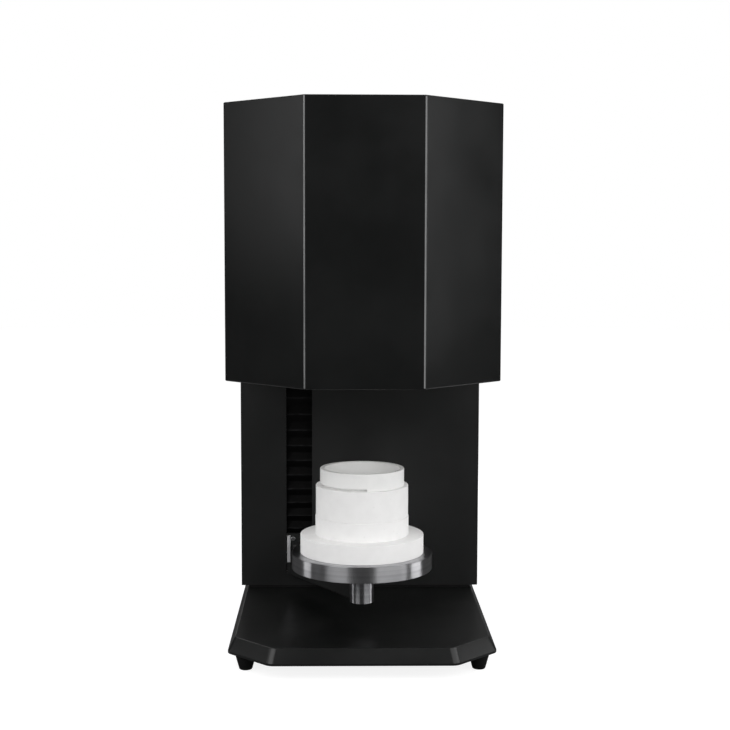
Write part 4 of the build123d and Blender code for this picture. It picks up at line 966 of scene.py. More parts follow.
@dataclass(frozen=True)
class BellowsCloth(Finish):
    """Black coated cloth of the folded slot cover, made darker still as painted shade of the narrow
    slot.
    """

    # Cloth and thread are darker than black cloth would be: painted shade of the slot.
    colour: Colour = (0.0010, 0.0010, 0.0011)
    thread: Colour = (0.0024, 0.0024, 0.0025)
    # Colour of the front creases: worn cloth and a painted highlight.
    crease_wear_and_highlight: Colour = (0.018, 0.018, 0.019)
    crease_y: float = 0.1270
    pitch: float = 330.0

    def inputs(self, wiring: Wiring) -> dict[str, object]:
        """Lays the weave, and the creases' wear with a painted highlight, over the cloth."""
        weave = WEAVE.use(wiring, Vector=wiring.place(), Pitch=self.pitch)
        colour = wiring.blend(wiring.times(weave["Height"], 0.6), self.colour, self.thread)
        depth = wiring.split(wiring.place())[Y]
        # Near the front creases the cloth turns lighter: partly worn cloth, partly a painted
        # highlight.
        wear_and_highlight = wiring.fade(depth, self.crease_y + 0.0011, self.crease_y + 0.0004)
        wear_and_highlight = wiring.times(wear_and_highlight, wiring.fade(weave["Tone"], 0.3, 0.6, 0.5, 1.0))
        colour = wiring.blend(wear_and_highlight, colour, self.crease_wear_and_highlight)
        rough = wiring.fade(weave["Tone"], 0.3, 0.7, 0.55, 0.7)
        return {
            "Base Color": colour,
            "Roughness": rough,
            "Normal": wiring.bump(weave["Height"], 0.00006),
            "Specular IOR Level": 0.12,
        }


@dataclass(frozen=True)
class Galvanised(Finish):
    """Zinc-plated steel sheet with its spangle."""

    colour: Colour = (0.50, 0.52, 0.54)
    dark: Colour = (0.30, 0.32, 0.34)
    scale: float = 110.0

    def inputs(self, wiring: Wiring) -> dict[str, object]:
        """Lays the spangle over the zinc."""
        place = wiring.place()
        cells = wiring.lay(
            "ShaderNodeTexVoronoi", {"Vector": place, "Scale": self.scale}
        ).outputs[1]
        tone = wiring.lay("ShaderNodeSeparateColor", {0: cells}).outputs[0]
        cloud = wiring.noise(place, 30.0, 4.0)
        share = wiring.times(wiring.plus(tone, cloud), 0.5)
        return {
            "Base Color": wiring.blend(share, self.colour, self.dark),
            "Roughness": wiring.fade(tone, 0.0, 1.0, 0.32, 0.5),
            "Normal": wiring.bump(cloud, 0.00005),
            "Metallic": 1.0,
        }


# A lighter copy of the black powder coat: painted light for the column below the hood.
COLUMN_COAT_PAINTED_LIGHTER = PowderCoat("black powder coat of the column, painted lighter", colour=(0.0110, 0.0114, 0.0114))

GROUND_BAR = Metal(
    "ground steel bar", (0.93, 0.93, 0.94), (0.78, 0.78, 0.80), 0.72, 700.0, 0.00001,
    stretch=(1.0, 1.0, 0.05), turned=False,
)

FINISHES: dict[Slot, Finish] = {
    Slot.POWDER_COAT: PowderCoat("satin black powder coat"),
    Slot.ARM: PowderCoat(
        "black painted casting",
        colour=(0.010, 0.0105, 0.0105),
        roughness=0.45,
        grain=600.0,
        wear=0.5,
    ),
    Slot.ZINC_STEEL: Galvanised("zinc-plated steel"),
    Slot.STAINLESS: Metal("stainless sheet", (0.52, 0.52, 0.51), grey(0.34), 0.3, 1400.0, 0.00001),
    Slot.TURNED_STEEL: Metal(
        "turned steel",
        (0.60, 0.60, 0.615),
        (0.40, 0.40, 0.42),
        0.32,
        2600.0,
        0.000002,
        anisotropy=0.98,
    ),
    Slot.ALUMINIUM: Metal(
        "milled aluminium", (0.72, 0.73, 0.74), (0.52, 0.53, 0.54), 0.34, 420.0, 0.00002,
        stretch=(0.05, 1.0, 1.0), turned=False,
    ),
    Slot.RAIL_STEEL: Metal(
        "ground bearing steel", (0.46, 0.46, 0.47), (0.30, 0.30, 0.31), 0.28, 700.0, 0.00001,
        stretch=(1.0, 1.0, 0.04), turned=False,
    ),
    Slot.BRIGHT_SCREW: Metal(
        "bright steel screws",
        (0.62, 0.62, 0.63),
        (0.42, 0.42, 0.43),
        0.22,
        1800.0,
        0.000008,
        turned=False,
    ),
    Slot.BLACK_SCREW: Moulded(
        "black oxide screws",
        (0.016, 0.016, 0.018),
        (0.028, 0.027, 0.027),
        0.36,
        900.0,
        0.00001,
        wear=0.5,
    ),
    Slot.RUBBER: Moulded(
        "black rubber", grey(0.0035), grey(0.006), 0.72, 700.0, 0.00004, dust=0.01, specular=0.2
    ),
    Slot.WHITE_FIBRE: Fibre(
        "white fibre board", (0.87, 0.865, 0.86), (0.845, 0.84, 0.835), depth=0.00005
    ),
    Slot.INSULATION: Fibre(
        "fibre insulation", (0.82, 0.80, 0.76), (0.72, 0.70, 0.66), scale=360.0, depth=0.0002
    ),
    Slot.CRUCIBLE: Moulded(
        "fired crucible ceramic",
        (0.86, 0.86, 0.85),
        (0.81, 0.81, 0.80),
        0.6,
        1100.0,
        0.00002,
        specular=0.35,
    ),
    Slot.HOLDER: Moulded(
        "holder ceramic", (0.72, 0.70, 0.64), (0.62, 0.60, 0.54), 0.7, 800.0, 0.00004
    ),
    Slot.ELEMENT: Moulded(
        "silicide rod", (0.060, 0.058, 0.056), (0.11, 0.10, 0.095), 0.38, 900.0, 0.00003, coat=0.3
    ),
    Slot.MOTOR: Moulded(
        "black enamel", (0.012, 0.012, 0.013), (0.020, 0.020, 0.021), 0.35, 500.0, 0.00003, wear=0.4
    ),
    Slot.FAN: Moulded("fan plastic", grey(0.012), grey(0.018), 0.5, 1200.0, 0.00002),
    Slot.INLET: InletPlastic("inlet plastic", grey(0.014), grey(0.020), 0.42, 1300.0, 0.00002),
    Slot.ROCKER: Moulded("rocker plastic", grey(0.018), grey(0.026), 0.3, 1500.0, 0.00001),
    Slot.BOARD: Moulded(
        "circuit board lacquer",
        (0.010, 0.075, 0.028),
        (0.016, 0.11, 0.045),
        0.3,
        600.0,
        0.00003,
        tone_scale=160.0,
    ),
    Slot.BELLOWS: BellowsCloth("bellows cloth"),
}


# ---- base


@dataclass
class Base:
    """Folded base cover and its four rubber feet."""

    half_width: float = 180.0
    front_y: float = -202.5
    corner: float = 57.6
    foot_height: float = 20.0
    lip: float = 3.0
    skirt: float = 18.0
    flare: float = 9.7
    fold: Bevel = Bevel(6.0, 8)
    edge: Bevel = Bevel(0.9, 4)
    foot_top_r: float = 14.0
    foot_bottom_r: float = 8.5
    foot_edge: Bevel = Bevel(1.5, 5)
    dish_r: float = 4.0
    dish_rim_r: float = 4.6
    dish_depth: float = 2.5
    foot_x: float = 155.5
    foot_ys: tuple[float, float] = (-148.5, 220.5)

    def outline(self, rear: float) -> Outline:
        """Plan of the base, a rectangle with its two front corners cut off."""
        half, front, corner = self.half_width, self.front_y, self.corner
        return mirrored([(half, rear), (half, front + corner), (half - corner, front)])

    def cover(self) -> bpy.types.Object:
        """Folds the cover: a short lip, a flared skirt and a flat top."""
        blank = Blank()
        low, middle = self.foot_height, self.foot_height + self.lip
        blank.prism(self.outline(REAR_Y + OVERRUN), low, middle)
        blank.inset(blank.faces(lambda face: face.normal.z > 0.9), self.flare, self.skirt)
        blank.cut_behind(REAR_Y, cap=True)
        folds = blank.edges(
            lambda edge: run(edge, Z) > 1 and ends(edge, Y)[1] < self.front_y + 2 * self.corner
        )
        blank.round(folds, self.fold)
        high = middle + self.skirt
        rim = blank.edges(
            lambda edge: ends(edge, Z)[0] > high - NEAR
            and edge.calc_face_angle(0) > 0.5
            and ends(edge, Y)[0] < REAR_Y - 1
        )
        blank.round(rim, self.edge)
        blank.open(blank.faces(lambda face: face.normal.z < -0.9))
        blank.thicken(SHEET)
        return blank.hand_over(
            "base_cover_sheet", Body.ROOT, Slot.POWDER_COAT, ["base_cover"], sharp=24
        )

    def foot(self, side: str, x: float, y: float) -> bpy.types.Object:
        """Moulds one tapered foot with a dished underside."""
        blank = Blank()
        dish = [(0, self.dish_depth), (self.dish_r, self.dish_depth), (self.dish_rim_r, 0)]
        top = [(self.foot_top_r, self.foot_height), (0, self.foot_height)]
        blank.turn([*dish, (self.foot_bottom_r, 0), *top], steps=72)
        rim = blank.edges(
            lambda edge: ends(edge, Z)[1] < NEAR
            and min(vert.co.xy.length for vert in edge.verts) > self.foot_bottom_r - NEAR
        )
        blank.round(rim, self.foot_edge)
        blank.move(Vector((x, y, 0)))
        return blank.hand_over(f"rubber_{side}", Body.ROOT, Slot.RUBBER, [side])

    def build(self) -> None:
        """Builds the cover and the feet."""
        self.cover()
        for row, y in zip(("front", "rear"), self.foot_ys):
            for side, x in (("left", -self.foot_x), ("right", self.foot_x)):
                self.foot(f"foot_{row}_{side}", x, y)


# ---- hood


@dataclass
class Hood:
    """Folded front shell of the furnace: the front half of an octagon."""

    apothem: float = 180.0
    low: float = 386.0
    high: float = 745.0
    flange: float = 10.0
    fold: Bevel = Bevel(2.0, 6)
    edge: Bevel = Bevel(3.0, 5)
    back_gap: float = 0.4

    def outline(self, back: float) -> Outline:
        """Plan of the hood out to a back line."""
        side = self.apothem * math.tan(math.pi / 8)
        front = AXIS_Y - self.apothem
        return mirrored([(self.apothem, back), (self.apothem, AXIS_Y - side), (side, front)])

    def build(self) -> bpy.types.Object:
        """Folds the shell, turns its flanges in at top and bottom, and cuts it open at the back."""
        back = COLUMN_Y - self.back_gap
        blank = Blank()
        blank.prism(self.outline(back + OVERRUN), self.low, self.high)
        for level in (1, -1):
            flat = blank.faces(lambda face: face.normal.z * level > 0.999)
            blank.inset(flat, self.flange)
            blank.open(flat)
        blank.cut_behind(back, cap=False)
        blank.round(blank.edges(lambda edge: edge.is_manifold and run(edge, Z) > 300), self.fold)
        rims = blank.edges(lambda edge: edge.is_manifold and edge.calc_face_angle() > 1.2)
        blank.round(rims, self.edge)
        # The front folds are marked for worn paint with a painted highlight.
        blank.mark_wear_and_highlight(
            lambda face: abs(face.normal.z) < 0.05
            and 0.15 < abs(face.normal.x) < 0.5
            and face.normal.y < 0
        )
        blank.thicken(SHEET)
        return blank.hand_over("hood_sheet", Body.ROOT, Slot.POWDER_COAT, ["hood_shell"], sharp=24)


# ---- lift


@dataclass
class Lift:
    """Plate, post, arm and bracket that carry the pedestal up into the furnace."""

    plate_r: float = 96.5
    plate_low: float = 121.3
    plate_high: float = 143.1
    post_r: float = 16.6
    post_low: float = 72.3
    arm_top: float = 111.0
    arm_tip_low: float = 75.5
    arm_root_low: float = 62.0
    arm_width: float = 26.0
    arm_bar_gap: float = 1.6844
    bracket_left: float = -110.0
    bracket_right: float = -74.0
    bracket_low: float = 64.0
    bracket_high: float = 125.7
    bracket_front: float = 114.5
    bracket_rear: float = 123.5
    bar_low: float = 82.3
    bar_high: float = 123.4
    bar_width: float = 5.0
    bar_front: float = 112.5
    carriage_front: float = 156.5
    stem_half: float = 16.0
    stem_low: float = 92.0
    stem_high: float = 122.0
    screw_xs: tuple[float, float] = (-101.0, -81.0)
    screw_z: float = 118.35
    head_r: float = 3.6
    head_height: float = 2.2
    shank_r: float = 2.0
    shank_length: float = 8.0
    hex_r: float = 1.5
    hex_depth: float = 1.3
    dome: float = 0.66
    plate_edge: Bevel = Bevel(0.8, 3)
    post_edge: Bevel = Bevel(1.2, 3)
    arm_edge: Bevel = Bevel(2.0, 5)
    bracket_corner: Bevel = Bevel(1.9, 5)
    bracket_edge: Bevel = Bevel(0.5, 3)
    stem_edge: Bevel = Bevel(1.5, 3)
    bar_edge: Bevel = Bevel(0.6, 3)

    def plate(self) -> bpy.types.Object:
        """Turns the round lift plate, its rims broken by a small chamfer."""
        blank = Blank()
        blank.disc(self.plate_r, self.plate_low, self.plate_high, steps=224)
        blank.round(blank.sharp_edges(), self.plate_edge)
        blank.move(FURNACE_AXIS)
        return blank.hand_over(
            "turned_plate", Body.LIFT, Slot.TURNED_STEEL, ["lift_plate"], sharp=24
        )

    def post(self) -> bpy.types.Object:
        """Turns the short post under the plate."""
        blank = Blank()
        blank.disc(self.post_r, self.post_low, self.plate_low, steps=112)
        foot = [edge for edge in blank.sharp_edges() if ends(edge, Z)[0] < self.post_low + NEAR]
        blank.round(foot, self.post_edge)
        blank.move(FURNACE_AXIS)
        return blank.hand_over(
            "turned_post", Body.LIFT, Slot.TURNED_STEEL, ["plate_post"], sharp=24
        )

    def arm(self) -> bpy.types.Object:
        """Casts the arm: seated round the post, deeper towards the bracket, long edges round."""
        clear = Vector(
            (self.bracket_left + self.bar_width + self.arm_bar_gap, self.bracket_front - AXIS_Y)
        )
        half = self.arm_width / 2
        angle = math.atan2(-clear.x, clear.y) - math.asin(half / clear.length)
        ahead = Vector((-math.sin(angle), math.cos(angle)))
        aside = Vector((math.cos(angle), math.sin(angle)))
        reach = clear.y / math.cos(angle)
        slope = (self.arm_root_low - self.arm_tip_low) / reach
        plan = []
        seats = 10
        for step in range(seats + 1):
            across = half - self.arm_width * step / seats
            along = math.sqrt(self.post_r**2 - across**2)
            plan.append(along * ahead + across * aside)
        far = reach + self.arm_width
        plan += [far * ahead - half * aside, far * ahead + half * aside]
        blank = Blank()
        blank.prism([(spot.x, spot.y) for spot in plan], self.arm_tip_low, self.arm_top)
        for vert in blank.bm.verts:
            if vert.co.z < self.arm_top - 1:
                vert.co.z += slope * vert.co.xy.dot(ahead)
        long_edges = blank.edges(lambda edge: edge.calc_length() > reach - self.arm_width)
        blank.round(long_edges, self.arm_edge)
        blank.cut_behind(self.bracket_front - AXIS_Y, cap=True)
        blank.move(FURNACE_AXIS)
        return blank.hand_over("cast_arm", Body.LIFT, Slot.ARM, ["lift_arm"])

    def bracket(self) -> bpy.types.Object:
        """Machines the bracket: a face plate that houses the side bar, and a stem in the slot."""
        left, right = self.bracket_left, self.bracket_right
        inner = left + self.bar_width
        outline = [
            (left, self.bracket_low),
            (right, self.bracket_low),
            (right, self.bracket_high),
            (left, self.bracket_high),
            (left, self.bar_high),
            (inner, self.bar_high),
            (inner, self.bar_low),
            (left, self.bar_low),
        ]
        blank = Blank()
        depth = self.bracket_rear - self.bracket_front
        blank.prism(outline, 0, depth)
        corners = blank.edges(
            lambda edge: run(edge, Z) > 1
            and edge.verts[0].co.y in (self.bracket_low, self.bracket_high)
        )
        blank.round(corners, self.bracket_corner)
        blank.round(blank.edges(lambda edge: ends(edge, Z)[0] > depth - NEAR), self.bracket_edge)
        blank.rotate("X", 90)
        blank.move(Vector((0, self.bracket_rear, 0)))
        stem = blank.box(
            Vector((SLOT_X - self.stem_half, self.bracket_rear, self.stem_low)),
            Vector((SLOT_X + self.stem_half, self.carriage_front, self.stem_high)),
        )
        blank.round([edge for edge in stem if run(edge, Y) > 1], self.stem_edge)
        return blank.hand_over("bracket_body", Body.LIFT, Slot.ARM, ["arm_bracket"])

    def side_bar(self) -> bpy.types.Object:
        """Grinds the bright bar in the bracket's side."""
        blank = Blank()
        edges = blank.box(
            Vector((self.bracket_left, self.bar_front, self.bar_low)),
            Vector((self.bracket_left + self.bar_width, self.bracket_rear, self.bar_high)),
        )
        blank.round(
            [edge for edge in edges if ends(edge, Y)[1] < self.bar_front + NEAR], self.bar_edge
        )
        return blank.hand_over(
            "bright_side_bar", Body.LIFT, Slot.TURNED_STEEL, ["bracket_side_bar"], finish=GROUND_BAR
        )

    def screw(self, x: float) -> Blank:
        """Shapes one button-head socket screw, pointing back from the bracket's face."""
        blank = Blank()
        bm = blank.bm
        blank.circle(self.hex_r, 6, upright(self.head_height - self.hex_depth))
        bmesh.ops.subdivide_edges(bm, edges=bm.edges[:], cuts=7)
        loop = bm.edges[:]
        bmesh.ops.contextual_create(bm, geom=loop)
        top_loop = blank.draw(loop, upright(self.hex_depth))[1]
        dome = self.dome
        ring_edges = edges_at(blank.circle(self.head_r - dome, 48, upright(self.head_height)))
        bmesh.ops.bridge_loops(bm, edges=top_loop + ring_edges)
        stations = [
            (
                self.head_r - dome + dome * math.sin(turn),
                self.head_height - dome + dome * math.cos(turn),
            )
            for turn in (step * math.pi / 8 for step in (1, 2, 3, 4))
        ]
        stations += [(self.head_r, 0), (self.shank_r, 0), (self.shank_r, -self.shank_length)]
        radius, height = self.head_r - dome, self.head_height
        for next_radius, next_height in stations:
            moved, ring_edges = blank.draw(ring_edges, upright(next_height - height))
            share = next_radius / radius
            bmesh.ops.scale(bm, verts=moved, vec=(share, share, 1))
            radius, height = next_radius, next_height
        bmesh.ops.contextual_create(bm, geom=ring_edges)
        blank.rotate("X", 90)
        blank.move(Vector((x, self.bracket_front, self.screw_z)))
        blank.face_outwards()
        return blank

    def screws(self) -> bpy.types.Object:
        """Makes the two bracket screws."""
        blank = Blank()
        for x in self.screw_xs:
            blank.take(self.screw(x))
        return blank.hand_over(
            "socket_screws", Body.LIFT, Slot.BRIGHT_SCREW, ["bracket_screws"], sharp=28
        )

    def build(self) -> None:
        """Builds every piece of the lift that shows."""
        self.plate()
        self.post()
        self.arm()
        self.bracket()
        self.side_bar()
        self.screws()


# ---- pedestal and crucible


@dataclass
class Pedestal:
    """Stack of white fibre boards, with the ceramic crucible on top."""

    boards: tuple[tuple[str, float, float, float], ...] = (
        ("pedestal_disc", 84.5, 143.1, 168.3),
        ("pedestal_lower_pad", 63.9, 168.3, 194.0),
        ("pedestal_upper_pad", 63.2, 194.0, 236.4),
    )
    edge: Bevel = Bevel(0.45, 4)
    lip: Bevel = Bevel(1.0, 5)
    dent: float = 0.09
    dent_scale: float = 0.045
    crucible_r: float = 57.4
    wall: float = 6.2
    floor: float = 5.0
    crucible_low: float = 236.4
    crucible_height: float = 23.0
    notch_height: float = 3.0
    notch_depth: float = 4.5
    notch_start: float = 180.0
    notch_sweep: float = 96.0

    def board(self, node: str, radius: float, low: float, high: float) -> bpy.types.Object:
        """Cuts one round board, its edges worn soft and its side very slightly uneven."""
        blank = Blank()
        middle = (low + high) / 2
        blank.turn(
            [(0, low), (radius, low), (radius, middle), (radius, high), (0, high)], steps=160
        )
        blank.round(blank.sharp_edges(), self.edge)
        for vert in blank.bm.verts:
            if vert.co.xy.length > radius - 2 * self.edge.width:
                dent = self.dent * (1 + noise.noise(vert.co * self.dent_scale))
                vert.co.xy *= 1 - dent / radius
        blank.move(FURNACE_AXIS)
        return blank.hand_over(f"{node}_board", Body.LIFT, Slot.WHITE_FIBRE, [node])

    def crucible(self) -> bpy.types.Object:
        """Turns the shallow cup in two sweeps, the first with a notch under its side."""
        outer, inner = self.crucible_r, self.crucible_r - self.wall
        shoulder = outer - self.notch_depth
        top = self.crucible_height
        step = (outer, self.notch_height)
        inside = [step, (outer, top), (inner, top), (inner, self.floor), (0, self.floor)]
        plain = [(0, 0), (shoulder, 0), (outer, 0), *inside]
        notched = [(0, 0), (shoulder, 0), (shoulder, self.notch_height), *inside]
        notch_end = self.notch_start + self.notch_sweep
        blank = Blank()
        for profile, start, sweep in (
            (notched, self.notch_start, self.notch_sweep),
            (plain, notch_end, 360 - self.notch_sweep),
        ):
            points, edges = blank.chain([(radius, 0, height) for radius, height in profile])
            blank.rotate("Z", start, points)
            blank.spin(points + edges, math.radians(sweep), steps=round(sweep / 2))
        bmesh.ops.remove_doubles(blank.bm, verts=blank.bm.verts, dist=WELD)
        bmesh.ops.holes_fill(blank.bm, edges=blank.edges(lambda edge: edge.is_boundary), sides=4)
        blank.face_outwards()
        blank.round(
            [edge for edge in blank.sharp_edges() if ends(edge, Z)[0] > top - NEAR], self.lip
        )
        blank.move(Vector((0, AXIS_Y, self.crucible_low)))
        return blank.hand_over("fired_crucible", Body.CRUCIBLE, Slot.CRUCIBLE, ["crucible"])

    def build(self) -> None:
        """Builds the boards and the crucible."""
        for board in self.boards:
            self.board(*board)
        self.crucible()


# ---- slot cover


@dataclass
class Bellows:
    """Pleated cloth that covers the lift slot above and below the stem."""

    width: float = 45.6
    front: float = 127.0
    depth: float = 7.9
    cloth: float = 0.7
    slot_top: float = 397.9
    stem_top: float = 122.0
    slot_bottom: float = 66.0
    stem_bottom: float = 92.0
    sag: float = 0.18
    packed_height: float = 36.0
    strips: int = 14
    upper_pleats: int = 12
    lower_pleats: int = 9
    upper_fold: Bevel = Bevel(0.9, 3)
    lower_fold: Bevel = Bevel(0.3, 3)
    stem_gap: float = 0.6
    slot_gap: float = 1.3
    wave: float = 0.07
    wave_scale: Span = (0.09, 0.35)
    dent: float = 0.35
    dent_scale: Span = (0.12, 0.2)
    dent_layer: float = 7.0

    def pleats(self, low: float, high: float, count: int, sag: float, fold: Bevel) -> Blank:
        """Folds a strip of cloth.

        Args:
            low: Height of its foot.
            high: Height of its head.
            count: Number of pleats.
            sag: Share by which the folds open towards the top.
            fold: How a fold is rounded.

        Returns:
            The strip, with its thickness.
        """
        blank = Blank()
        places = []
        for k in range(2 * count + 1):
            share = k / (2 * count)
            height = low + (high - low) * (share + sag * (share * share - share))
            y = self.front if k % 2 else self.front + self.depth
            places.append((SLOT_X - self.width / 2, y, height))
        strip = blank.chain(places)[1]
        for _ in range(self.strips):
            strip = blank.draw(strip, Vector((self.width / self.strips, 0, 0)))[1]
        gap = (high - low) / (2 * count)
        across, along = self.wave_scale
        for vert in blank.bm.verts:
            wave = noise.noise(Vector((vert.co.x * across, vert.co.y, vert.co.z * along)))
            vert.co.z += self.wave * gap * wave if low < vert.co.z < high else 0
            if vert.co.y < self.front + 1:
                spot = (
                    vert.co.x * self.dent_scale[0], self.dent_layer, vert.co.z * self.dent_scale[1]
                )
                vert.co.y += self.dent * (1 + noise.noise(Vector(spot)))
        blank.face_outwards()
        folds = blank.edges(
            lambda edge: edge.is_manifold and run(edge, X) > 1 and edge.calc_face_angle() > 0.6
        )
        blank.round(folds, fold)
        if sum(face.normal.y for face in blank.bm.faces) < 0:
            bmesh.ops.reverse_faces(blank.bm, faces=blank.bm.faces)
        blank.thicken(-self.cloth)
        blank.face_outwards()
        return blank

    def build(self) -> None:
        """Folds both strips, hands both to the root body, and then lets the lower one stand free of
        it.
        """
        low, high = self.stem_top + self.stem_gap, self.slot_top - self.slot_gap
        upper = self.pleats(low, high, self.upper_pleats, self.sag, self.upper_fold)
        lower = self.pleats(
            self.slot_bottom, self.stem_bottom, self.lower_pleats, 0, self.lower_fold
        )
        upper_piece, lower_piece = (
            strip.hand_over(
                f"{end}_pleats",
                Body.ROOT,
                Slot.BELLOWS,
                [f"{end}_bellows"],
                sharp=50,
                even_light=False,
            )
            for end, strip in (("upper", upper), ("lower", lower))
        )
        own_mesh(upper_piece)
        lower_piece.parent = None
        del lower_piece["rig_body"]
        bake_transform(lower_piece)


# ---- furnace chamber


@dataclass
class Chamber:
    """Fibre rings and heating elements of the furnace chamber."""

    fibre_r: float = 150.0
    mouth_r: float = 88.0
    neck_r: float = 66.5
    muffle_r: float = 88.0
    shelf_top: float = 393.0
    neck_low: float = 412.9
    seam: float = 0.2
    muffle_low: float = 473.7
    roof_low: float = 613.7
    element_r: float = 76.0
    span: float = 30.0
    rod_r: float = 3.0
    terminal_r: float = 6.0
    bend_low: float = 487.7
    terminal_low: float = 608.7
    terminal_high: float = 720.7
    ring_edge: Bevel = Bevel(1.2, 3)
    terminal_edge: Bevel = Bevel(0.8, 2)

    def ring(self, blank: Blank, radius: float, low: float, high: float) -> None:
        """Adds one fibre ring with softened edges."""
        fresh = Blank()
        section = [(radius, low), (self.fibre_r, low), (self.fibre_r, high), (radius, high)]
        fresh.turn(section, steps=128, closed=True)
        fresh.round(fresh.sharp_edges(), self.ring_edge)
        fresh.move(FURNACE_AXIS)
        blank.take(fresh)

    def element(self, number: int) -> bpy.types.Object:
        """Bends one U-shaped heating element and adds its two thick terminals."""
        blank = Blank()
        bm = blank.bm
        half = self.span / 2
        bend = self.bend_low + half
        rim = blank.circle(self.rod_r, 20, (-half, 0, self.terminal_low))
        low, loop = blank.draw(edges_at(rim), upright(bend - self.terminal_low))
        made = blank.spin(low + loop, math.pi, steps=18, centre=(0, 0, bend), axis=(0, -1, 0))
        blank.draw([item for item in made if is_edge(item)], upright(self.terminal_low - bend))
        bmesh.ops.holes_fill(bm, edges=blank.edges(lambda edge: edge.is_boundary), sides=40)
        for side in (-half, half):
            stud = Blank()
            stud.disc(self.terminal_r, self.terminal_low, self.terminal_high, steps=32)
            stud.round(stud.sharp_edges(), self.terminal_edge)
            stud.move(Vector((side, 0, 0)))
            blank.take(stud)
        blank.face_outwards()
        angle = 90 * number - 45
        blank.rotate("Z", angle + 90)
        turn = math.radians(angle)
        outwards = Vector((math.cos(turn), math.sin(turn), 0))
        blank.move(FURNACE_AXIS + self.element_r * outwards)
        node = f"heating_element_{number}"
        return blank.hand_over(f"element_rod_{number}", Body.ROOT, Slot.ELEMENT, [node])

    def build(self) -> None:
        """Builds the rings and the four elements."""
        floor = Blank()
        self.ring(floor, self.mouth_r, self.shelf_top, self.neck_low - self.seam)
        self.ring(floor, self.neck_r, self.neck_low, self.muffle_low)
        floor.hand_over("fibre_floor_rings", Body.ROOT, Slot.INSULATION, ["insulation_floor"])
        wall = Blank()
        self.ring(wall, self.muffle_r, self.muffle_low, self.roof_low)
        wall.hand_over("fibre_wall_ring", Body.ROOT, Slot.INSULATION, ["insulation_wall"])
        for number in (1, 2, 3, 4):
            self.element(number)


# ---- rear


@dataclass
class FanGuard:
    """Round wire guard over the rear fan."""

    x: float = 75.0
    z: float = 640.0
    rings: tuple[float, ...] = (39.0, 30.0, 21.0, 12.0)
    wire_r: float = 0.8
    ring_y: float = 257.7
    spoke_y: float = 256.4
    wire_sides: int = 12
    eye: float = 36.0
    eye_r: float = 4.0
    eye_depth: float = 4.0
    eye_taper: float = 0.5

    def build(self) -> bpy.types.Object:
        """Bends the rings, lays the two crossed wires behind them and adds the four fixing eyes."""
        blank = Blank()
        for radius in self.rings:
            wire = blank.circle(self.wire_r, self.wire_sides)
            blank.rotate("X", 90, wire)
            blank.move((radius, 0, 0), wire)
            blank.spin(wire + edges_at(wire), FULL_TURN, steps=96, merge=True)
        reach = 2 * math.sqrt(2) * (self.eye - 1)
        for tilt in (45, 135):
            wire = blank.cone(self.wire_r, self.wire_r, reach, self.wire_sides)
            blank.rotate("Y", 90, wire)
            blank.rotate("Z", tilt, wire)
            blank.move(upright(self.spoke_y - self.ring_y), wire)
        eye_y = REAR_Y + self.eye_depth / 2 - self.ring_y
        for across, up in ((-1, -1), (-1, 1), (1, -1), (1, 1)):
            stud = blank.cone(self.eye_r, self.eye_r - self.eye_taper, self.eye_depth, 32)
            blank.move((across * self.eye, up * self.eye, eye_y), stud)
        blank.weld()
        blank.rotate("X", -90)
        blank.move(Vector((self.x, self.ring_y, self.z)))
        return blank.hand_over("wire_guard", Body.ROOT, Slot.ZINC_STEEL, ["fan_guard"])


# ---- kept nodes


@dataclass
class KeptNodes:
    """CAD nodes whose shape is right as it is: they only get their finishes."""

    finishes: dict[Slot, tuple[str, ...]] = field(
        default_factory=lambda: {
            Slot.POWDER_COAT: (
                "rear_panel",
                "top_cover",
                "hood_bottom_plate",
            ),
            Slot.ZINC_STEEL: ("base_plate", "frame_posts", "furnace_shelf"),
            Slot.RUBBER: ("column_gasket",),
            Slot.STAINLESS: ("furnace_can", "can_lid", "guide_rails", "ball_screw", "motor_shaft"),
            Slot.INSULATION: ("insulation_roof",),
            Slot.HOLDER: ("element_holders", "thermocouple"),
            Slot.ALUMINIUM: (
                "element_straps",
                "lift_back_plate",
                "screw_bearings",
                "heat_sink",
                "carriage_plate",
                "shaft_coupling",
            ),
            Slot.RAIL_STEEL: ("carriage_blocks", "ball_nut"),
            Slot.MOTOR: ("lift_motor", "fan_frame", "transformer", "power_relay"),
            Slot.FAN: ("fan_rotor",),
            Slot.BOARD: ("control_board",),
            Slot.INLET: ("power_inlet",),
            Slot.ROCKER: ("switch_rocker",),
            Slot.BLACK_SCREW: ("rear_screws",),
        }
    )

    column: tuple[str, ...] = ("column_left_panel", "column_right_panel", "column_front_panel")

    def coat(self, nodes: Sequence[str], finish: Finish) -> None:
        """Puts one finish on some nodes."""
        material = finish.material()
        for node in nodes:
            for place in frame["nodes"][node].material_slots:
                place.material = material
            log.info("%s: kept, %s", node, finish.label)

    def dress(self) -> None:
        """Gives every kept node its finish."""
        for slot, nodes in self.finishes.items():
            self.coat(nodes, FINISHES[slot])
        # The column panels take the lighter copy of the coat: painted light.
        self.coat(self.column, COLUMN_COAT_PAINTED_LIGHTER)


# ---- studio


@dataclass(frozen=True)
class SoftBox:
    """One rectangular studio lamp."""

    label: str
    place: Place
    aim: Place
    width: float
    height: float
    watts: float

    def hang(self) -> None:
        """Hangs the lamp, facing what it lights and unseen by the camera."""
        data = bpy.data.lights.new(self.label, "AREA")
        data.shape = "RECTANGLE"
        data.size, data.size_y = self.width, self.height
        data.energy = self.watts
        lamp = bpy.data.objects.new(self.label, data)
        bpy.context.scene.collection.objects.link(lamp)
        lamp.location = self.place
        lamp.rotation_euler = (
            Vector(self.aim) - Vector(self.place)
        ).to_track_quat("-Z", "Y").to_euler()
        lamp.visible_camera = False


